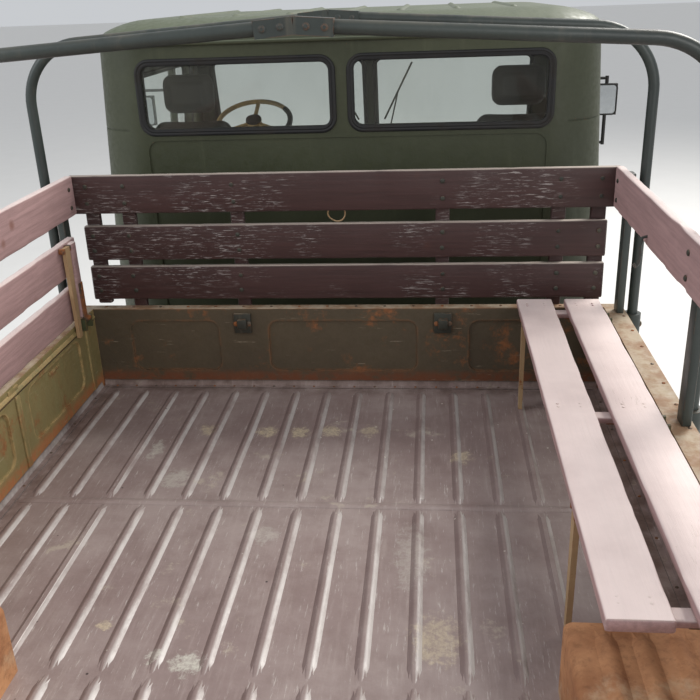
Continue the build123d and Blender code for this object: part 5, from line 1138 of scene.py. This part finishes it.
def tail_trim():
    """The tailgate's latches, straps and reflectors, and the tail lamps' glasses."""
    gate = piece("tailgate_latches", "tailgate", "bow", "bed_paint")
    bolts = piece("tailgate_bolts", "tailgate", "bolt", "frame_paint")
    spots = piece("tailgate_reflectors", "tailgate", "red", "lamp_glass")
    red = piece("tail_lamp_red", "chassis", "red", "lamp_glass")
    amber = piece("tail_lamp_amber", "chassis", "amber", "lamp_glass")
    rims = piece("tail_lamp_rims", "chassis", "trim", "black_trim")
    low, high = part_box("tail_lamps")
    back = (0, -1, 0)
    for side in HANDS:
        x = side * (BED_INNER - 0.035)
        gate.block((x - 0.032, REAR_END - 0.005, WALL_TOP - 0.120),
                   (x + 0.032, REAR_END + 0.001, WALL_TOP - 0.025), 0.002)
        latch = ((0.0, 0.004, 0.112), (0.0, 0.014, 0.104), (0.0, 0.016, 0.070), (0.010, 0.016, 0.040))
        gate.tube([(x + side * across, REAR_END - out, WALL_TOP - down) for across, out, down in latch],
                  0.006, 8)
        for reach in (0.30, 0.72):
            gate.block((side * reach - 0.020, REAR_END - 0.004, FLOOR + 0.020),
                       (side * reach + 0.020, REAR_END + 0.001, WALL_TOP - 0.020), 0.0015)
            for z in (0.05, 0.17, 0.29):
                bolts.dome((side * reach, REAR_END - 0.0035, FLOOR + z), back, 0.007)
        for shift in (-0.020, 0.020):
            for down in (0.045, 0.100):
                bolts.dome((x + shift, REAR_END - 0.0045, WALL_TOP - down), back, 0.006)
        outline = ((-0.001, 0.026), (0.004, 0.026), (0.006, 0.022), (0.0065, 0.003))
        spots.turned((side * 0.860, REAR_END, FLOOR + 0.060), back, outline)
        for lamp, x in ((red, 0.842), (amber, 0.918)):
            place = (side * x, low.y, (low.z + high.z) / 2 - 0.010)
            outline = ((-0.001, 0.031), (0.008, 0.031), (0.014, 0.026), (0.017, 0.014), (0.0175, 0.003))
            lamp.turned(place, back, outline, 28)
            ring = ((-0.001, 0.0305), (0.009, 0.0305), (0.010, 0.034), (-0.001, 0.037))
            rims.turned(place, back, ring, 28, hollow=True)


# Cab trim

def door_trim(name, side):
    """A door's handle, lock, hinge rivets and pressed ridges."""
    body = f"door_{name}"
    out = (side, 0, 0)
    handle = piece(f"{body}_handle", body, "trim", "black_trim")
    handle.block((side * (CAB_HALF - 0.001), DOOR_REAR + 0.048, 1.445),
                 (side * (CAB_HALF + 0.003), DOOR_REAR + 0.202, 1.490), 0.0015)
    handle.block((side * (CAB_HALF + 0.010), DOOR_REAR + 0.0585, 1.4535),
                 (side * (CAB_HALF + 0.0315), DOOR_REAR + 0.1915, 1.4815), 0.009, 4)
    for along, wide in ((0.074, 0.026), (0.176, 0.022)):
        place = (side * CAB_HALF, DOOR_REAR + along, 1.4675)
        handle.turned(place, out, ((0, wide), (0.006, wide), (0.012, wide * 0.7)), 20)
    lock = ((-0.001, 0.012), (0.003, 0.012), (0.005, 0.009))
    handle.turned((side * CAB_HALF, DOOR_REAR + 0.080, 1.420), out, lock, 16)
    rivets = piece(f"{body}_rivets", body, "bolt", "cab_paint")
    for z in (1.115, 1.145, 1.465, 1.495):
        for back in (0.030, 0.072):
            rivets.dome((side * (CAB_HALF + 0.015), DOOR_FRONT - back, z), out, 0.006)
    ridges = piece(f"{body}_ridges", body, "cab", "cab_paint")
    for z in (1.290, 1.375):
        path = [(side * (CAB_HALF + 0.0002), y, z) for y in (DOOR_REAR + 0.08, DOOR_FRONT - 0.13)]
        ridges.moulding(path, out, ((-0.013, -0.001), (-0.006, 0.0035), (0.006, 0.0035), (0.013, -0.001)))


def lamp_trim():
    """Headlamp glasses with their rings and rubbers, and the small lamps above."""
    rings = piece("lamp_rings", "cab", "steel", "black_trim")
    clear = piece("lamp_glasses", "cab", "clear", "lamp_glass")
    amber = piece("indicator_glasses", "cab", "amber", "lamp_glass")
    rubbers = piece("lamp_rubbers", "cab", "gasket", "black_rubber")
    big = (0.700, 0.0118, 1.130)
    small = (0.780, 0.0298, 1.345)
    # piece, place, steps, hollow, outline of (distance out, radius)
    table = (
        (clear, big, 48, False,
         ((-0.002, 0.094), (0.006, 0.094), (0.013, 0.083), (0.018, 0.060), (0.021, 0.030), (0.0215, 0.004))),
        (rings, big, 48, True,
         ((-0.004, 0.093), (0.008, 0.093), (0.012, 0.098), (0.010, 0.106), (-0.002, 0.1125),
          (-0.006, 0.1125))),
        (rubbers, big, 48, True,
         ((-0.012, 0.112), (-0.008, 0.121), (-0.0115, 0.126), (-0.014, 0.124))),
        (amber, small, 28, False,
         ((-0.002, 0.033), (0.008, 0.033), (0.015, 0.025), (0.018, 0.012), (0.0185, 0.003))),
        (rubbers, small, 28, True,
         ((-0.029, 0.0385), (-0.026, 0.044), (-0.004, 0.042), (0.002, 0.037), (0.000, 0.0325))),
    )
    for side in HANDS:
        for part, (x, out, z), steps, hollow, outline in table:
            part.turned((side * x, CAB_FRONT + out, z), (0, 1, 0), outline, steps, hollow=hollow)


def front_trim():
    """The grille's frame, wipers, bumper bolts, a bright plated bar on the roof's drip rail as a painted
    highlight, and mirrors' shells and glasses.
    """
    surround = piece("grille_frame", "cab", "cab", "cab_paint")
    path = [(x, CAB_FRONT, 1.145 + z) for x, z in rounded(0.856, 0.386, 0.070, 8)]
    section = ((-0.012, -0.001), (-0.010, 0.006), (0.0, 0.009), (0.008, 0.006), (0.010, -0.001))
    surround.moulding(path, (0, 1, 0), section, loop=True)
    wipers = piece("wipers", "cab", "trim", "black_trim")
    bolts = piece("bumper_bolts", "chassis", "bolt", "frame_paint")
    for side in HANDS:
        foot, elbow, grip, low, high = (screen_point(side * x, up, out) for x, up, out in (
            (0.060, 0.034, 0.004), (0.085, 0.150, 0.020), (0.162, 0.480, 0.012), (0.078, 0.312, 0.002),
            (0.245, 0.647, 0.002)))
        boss = ((-0.006, 0.018), (0.010, 0.018), (0.016, 0.011), (0.018, 0.004))
        wipers.turned(foot, (0, math.cos(SCREEN_TILT), math.sin(SCREEN_TILT)), boss, 18)
        wipers.tube([foot + Vector((0, 0.012, 0.004)), elbow, grip], 0.0045, 8)
        wipers.tube([low, (low + high) / 2 + Vector((0, 0.002, 0)), high], 0.0055, 8)
        for x in (0.360, 0.400):
            for z in (0.600, 0.700):
                bolts.bolt((side * x, FRONT_END, z), (0, 1, 0), 0.010)
        for x in (0.620, 0.900):
            bolts.dome((side * x, FRONT_END, 0.652), (0, 1, 0), 0.011)
    # A bright plated bar along the rear drip rail: a painted highlight where the rail catches the light.
    rail_highlight = piece("roof_rod", "cab", "steel", "cab_paint")
    rail_highlight.tube([(x, CAB_REAR - back, EAVES + up) for x, back, up in
              ((0.412, 0.006, 0.018), (0.620, 0.007, 0.0185), (0.835, 0.004, 0.018))], 0.0042, 8)
    mirror_trim()


def mirror_trim():
    """The mirrors' glasses, rims, shells and the feet of their arms."""
    glasses = piece("mirror_glasses", "cab", "mirror", "black_trim")
    shells = piece("mirror_shells", "cab", "trim", "black_trim")
    x, y, z = MIRROR_PLACE
    rim = ((-0.005, -0.004), (-0.005, 0.002), (0.0, 0.005), (0.005, 0.002), (0.005, -0.004))
    for side in HANDS:
        # piece, width, height, corner, share of the outline and y of each ring
        for part, width, height, corner, rows in (
                (glasses, 0.106, 0.156, 0.018, ((1.0, -0.013), (0.99, -0.0162))),
                (shells, 0.119, 0.169, 0.030, ((1.0, 0.004), (1.0, 0.018), (0.92, 0.028), (0.70, 0.033)))):
            part.skin([[(side * x + share * across, y + ahead, z + share * rise)
                        for across, rise in rounded(width, height, corner)] for share, ahead in rows])
        path = [(side * x + across, y - 0.014, z + rise) for across, rise in rounded(0.113, 0.163, 0.021)]
        shells.moulding(path, (0, -1, 0), rim, loop=True)
        for rise in (-0.040, 0.040):
            knob = ((-0.004, 0.013), (0.008, 0.013), (0.011, 0.009))
            shells.turned((side * x, y + 0.030, z + rise), (0, 1, 0), knob, 16)
        for rise in (-0.240, 0.115):
            foot = ((-0.003, 0.022), (0.004, 0.022), (0.008, 0.015), (0.016, 0.012))
            shells.turned((side * wall_x(z + rise), y, z + rise), (side, 0, 0), foot, 18)


def cabin_trim():
    """Gear and hand levers, gauges, and the steering wheel's boss and dark grip."""
    levers = piece("cab_levers", "cab", "trim", "black_trim")
    levers.tube([(-0.300, 1.600, 1.500), (-0.306, 1.640, 1.640), (-0.325, 1.735, 1.800)], 0.008)
    levers.tube([(-0.180, 1.520, 1.500), (-0.180, 1.560, 1.630)], 0.007)
    knob = ((-0.01, 0.012), (0.004, 0.022), (0.022, 0.024), (0.036, 0.016), (0.041, 0.005))
    levers.turned((-0.326, 1.738, 1.800), (0, 0.2, 1), knob, 18)
    gaiter = ((0.0, 0.060), (0.012, 0.052), (0.030, 0.034), (0.045, 0.020))
    levers.turned((-0.300, 1.600, 1.499), (0, 0, 1), gaiter, 20)
    knob = ((0.0, 0.010), (0.010, 0.018), (0.026, 0.016), (0.034, 0.004))
    levers.turned((-0.180, 1.562, 1.630), (0, 0.2, 1), knob, 16)
    gauges = piece("gauges", "cab", "clear", "lamp_glass")
    bezels = piece("gauge_rings", "cab", "trim", "black_trim")
    for x, radius in ((-0.700, 0.036), (-0.590, 0.036), (-0.500, 0.024), (-0.430, 0.024), (-0.800, 0.024)):
        place = (x, DOOR_FRONT, 1.555)
        dial = ((-0.001, radius), (0.002, radius), (0.004, radius * 0.6), (0.0045, 0.003))
        gauges.turned(place, (0, -1, 0), dial, 28)
        ring = ((-0.001, radius), (0.006, radius), (0.006, radius + 0.004), (-0.001, radius + 0.006))
        bezels.turned(place, (0, -1, 0), ring, 28, hollow=True)
    axis = Vector((0, -math.sin(WHEEL_TILT), math.cos(WHEEL_TILT)))
    right = Vector((1, 0, 0))
    ahead = axis.cross(right)
    grip = piece("wheel_grip", "steering_wheel", "trim", "black_trim")
    grip.turned(WHEEL_CENTRE, axis, ((0.010, 0.044), (0.022, 0.042), (0.028, 0.030), (0.030, 0.006)))
    start = math.radians(-32)
    sweep = math.radians(70)
    steps = 44
    rings = []
    for step in range(steps + 1):
        turn = start + sweep * step / steps
        outward = right * math.cos(turn) + ahead * math.sin(turn)
        thick = 0.0142 + 0.0008 * (step % 2)
        rings.append(circle(WHEEL_CENTRE + outward * 0.200, outward, axis, thick, 12))
    grip.skin(rings)


# Under the truck

def under_trim():
    """Tank straps and caps, spring bolts, exhaust clamps and frame rivets."""
    straps = piece("tank_straps", "chassis", "frame", "frame_paint")
    bolts = piece("chassis_bolts", "chassis", "bolt", "frame_paint")
    caps = piece("tank_caps", "chassis", "steel", "frame_paint")
    band = ((-0.0035, -0.018), (0.001, -0.018), (0.001, 0.018), (-0.0035, 0.018))
    neck = ((-0.004, 0.034), (0.016, 0.034), (0.018, 0.042), (0.034, 0.042), (0.038, 0.034), (0.040, 0.010))
    # a spring's U-bolt: across from the spring, height
    bow = ((-0.043, 0.468), (-0.043, 0.668), (-0.034, 0.676), (0.034, 0.676), (0.043, 0.668), (0.043, 0.468))
    for side in HANDS:
        for y in (TANK_Y - 0.150, TANK_Y + 0.150):
            path = [(side * 0.630 + across, y, 0.745 + rise)
                    for across, rise in rounded(0.400, 0.300, 0.050, 6)]
            straps.moulding(path, (0, 1, 0), band, loop=True)
            bolts.bolt((side * 0.8335, y, 0.830), (side, 0, 0), 0.009)
        caps.turned((side * 0.8150, TANK_Y + 0.060, 0.8800), (side * 0.8, 0, 1), neck, 28)
        for z in (0.735, 0.835):
            for step in range(15):
                y = RAIL_REAR + (FRONT_END - 0.30 - RAIL_REAR) * (step + 0.5) / 15
                bolts.dome((side * 0.415, y, z), (side, 0, 0), 0.009)
        for axle_y in (FRONT_AXLE_Y, REAR_AXLE_Y):
            for shift in (-0.068, 0.068):
                straps.tube([(side * (SPRING_X + across), axle_y + shift, z) for across, z in bow], 0.007, 8)
                for across in (-0.043, 0.043):
                    bolts.bolt((side * (SPRING_X + across), axle_y + shift, 0.4705), (0, 0, -1), 0.011)
            straps.block((side * (SPRING_X - 0.058), axle_y - 0.084, 0.470),
                         (side * (SPRING_X + 0.058), axle_y + 0.084, 0.4815), 0.002)
    # distance along the exhaust, half length of the clamp behind and ahead, inner and outer radius, steps
    for shift, back, ahead, inner, outer, steps in (
            (-0.190, 0.015, 0.015, 0.0895, 0.0935, 32), (0.190, 0.015, 0.015, 0.0895, 0.0935, 32),
            (-0.360, 0.006, 0.012, 0.0225, 0.0275, 24)):
        straps.turned(SILENCER + Vector((0, shift, 0)), (0, 1, 0),
                      ((-back, inner), (-back, outer), (ahead, outer), (ahead, inner)), steps, hollow=True)
    soot = piece("exhaust_mouth", "chassis", "trim", "frame_paint")
    mouth = ((-0.001, 0.0235), (0.0004, 0.0235), (0.0006, 0.010))
    soot.turned(SILENCER + Vector((0, -0.360, 0)), (0, -1, 0), mouth, 20)


# Seats

CHANNEL_HALF = 0.012
CHANNEL_DEPTH = 0.007


def evaluated(thing):
    """An object with its modifiers worked out."""
    return thing.evaluated_get(bpy.context.evaluated_depsgraph_get())


def swell(thing, cap):
    """Blow a closed skin up as cloth, no point moving further than the cap."""
    before = [vert.co.copy() for vert in thing.data.vertices]
    cloth = thing.modifiers.new("cloth", "CLOTH")
    cloth.settings.quality = 4
    cloth.settings.mass = 0.3
    cloth.settings.tension_stiffness = 12
    cloth.settings.compression_stiffness = 12
    cloth.settings.shear_stiffness = 5
    cloth.settings.bending_stiffness = 0.4
    cloth.settings.use_pressure = True
    cloth.settings.uniform_pressure_force = 4
    cloth.settings.effector_weights.gravity = 0
    cloth.collision_settings.use_collision = False
    for step in range(1, 21):
        bpy.context.scene.frame_set(step)
    swollen = evaluated(thing)
    after = [vert.co.copy() for vert in swollen.to_mesh().vertices]
    swollen.to_mesh_clear()
    thing.modifiers.clear()
    bpy.context.scene.frame_set(1)
    for vert, old, new in zip(thing.data.vertices, before, after):
        move = new - old
        if move.length > cap:
            move *= cap / move.length
        vert.co = old + move


def soft_block(low, high, corner, cap, rests):
    """A padded block: a rounded box swollen as cloth, its movement capped, flat where it rests."""
    start = Piece("soft_start", "cab", "vinyl")
    inset = Vector((cap * 0.55,) * 3)
    start.block(Vector(low) + inset, Vector(high) - inset, corner, 5)
    data = bpy.data.meshes.new("soft_start")
    start.mesh.to_mesh(data)
    start.mesh.free()
    thing = add_object("soft_start", data)
    remesh = thing.modifiers.new("remesh", "REMESH")
    remesh.mode = "VOXEL"
    remesh.voxel_size = VOXEL
    solid = bpy.data.meshes.new_from_object(evaluated(thing))
    thing.modifiers.clear()
    thing.data = solid
    swell(thing, cap)
    axis, level = rests
    for vert in solid.vertices:
        vert.co = [min(max(at, bottom), top) for at, bottom, top in zip(vert.co, low, high)]
        if abs(vert.co[axis] - level) < 0.012:
            vert.co[axis] = level
    bpy.data.objects.remove(thing)
    return solid


def channels(mesh, axis, places, face):
    """Sewn channels pressed into one face of a padded block, where it looks along face."""
    for vert in mesh.vertices:
        look = vert.normal.dot(face)
        if look < 0.3:
            continue
        for place in places:
            away = abs(vert.co[axis] - place) / CHANNEL_HALF
            if away < 1:
                vert.co -= face * CHANNEL_DEPTH * look * (0.5 + 0.5 * math.cos(math.pi * away))


def seats():
    """Seat and back cushions and headrests of both seats."""
    low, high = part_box("seat_cushions")
    rear = low.y
    base = low.z
    middle = high.x - 0.215
    # name, low and high corner about the seat's middle, corner radius, cap,
    # axis and level it rests on, axis, places and face of its channels
    table = (
        ("seat", (-0.215, rear + 0.135, base), (0.215, high.y, 1.430), 0.045, 0.026, (2, base),
         (1, (rear + 0.26, rear + 0.37, rear + 0.48), Vector((0, 0, 1)))),
        ("back", (-0.215, rear, 1.330), (0.215, rear + 0.130, 2.110), 0.060, 0.026, (1, rear),
         (2, (1.55, 1.70, 1.85, 2.00), Vector((0, 1, 0)))),
        ("headrest", (-0.130, rear, 2.096), (0.130, rear + 0.100, high.z), 0.045, 0.022,
         (1, rear + 0.001), None),
    )
    for part, first, second, corner, cap, rests, sewn in table:
        mesh = soft_block(first, second, corner, cap, rests)
        for name, side in SIDES:
            data = mesh.copy()
            data.transform(Matrix.Translation((side * middle, 0, 0)))
            thing = add_object(f"{part}_{name}", data)
            smooth = thing.modifiers.new("smooth", "SUBSURF")
            smooth.levels = 1
            smooth.render_levels = 1
            fine = bpy.data.meshes.new_from_object(evaluated(thing))
            thing.modifiers.clear()
            thing.data = fine
            if sewn:
                channels(fine, *sewn)
            for polygon in fine.polygons:
                polygon.use_smooth = True
            fine.materials.clear()
            fine.materials.append(LOOKS["vinyl"])
            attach(thing, "cab")
            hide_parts("seat_cushions")


paint_solids()
for axle in ("front", "rear"):
    for name, side in SIDES:
        tyre(f"tyre_{axle}_{name}", f"{axle}_wheel_{name}", side)
        wheel_trim(f"wheel_{axle}_{name}", f"{axle}_wheel_{name}", side)
front_boards()
side_boards()
for name, side in SIDES:
    for place in BENCHES:
        bench(side, name, place)
seals()
bed_strips()
ribs()
roof_skin()
wall_details()
bed_bolts()
bed_hooks()
tail_trim()
for name, side in SIDES:
    door_trim(name, side)
lamp_trim()
front_trim()
cabin_trim()
under_trim()
for made in PIECES:
    made.done()
seats()
make_camera()
make_stage()
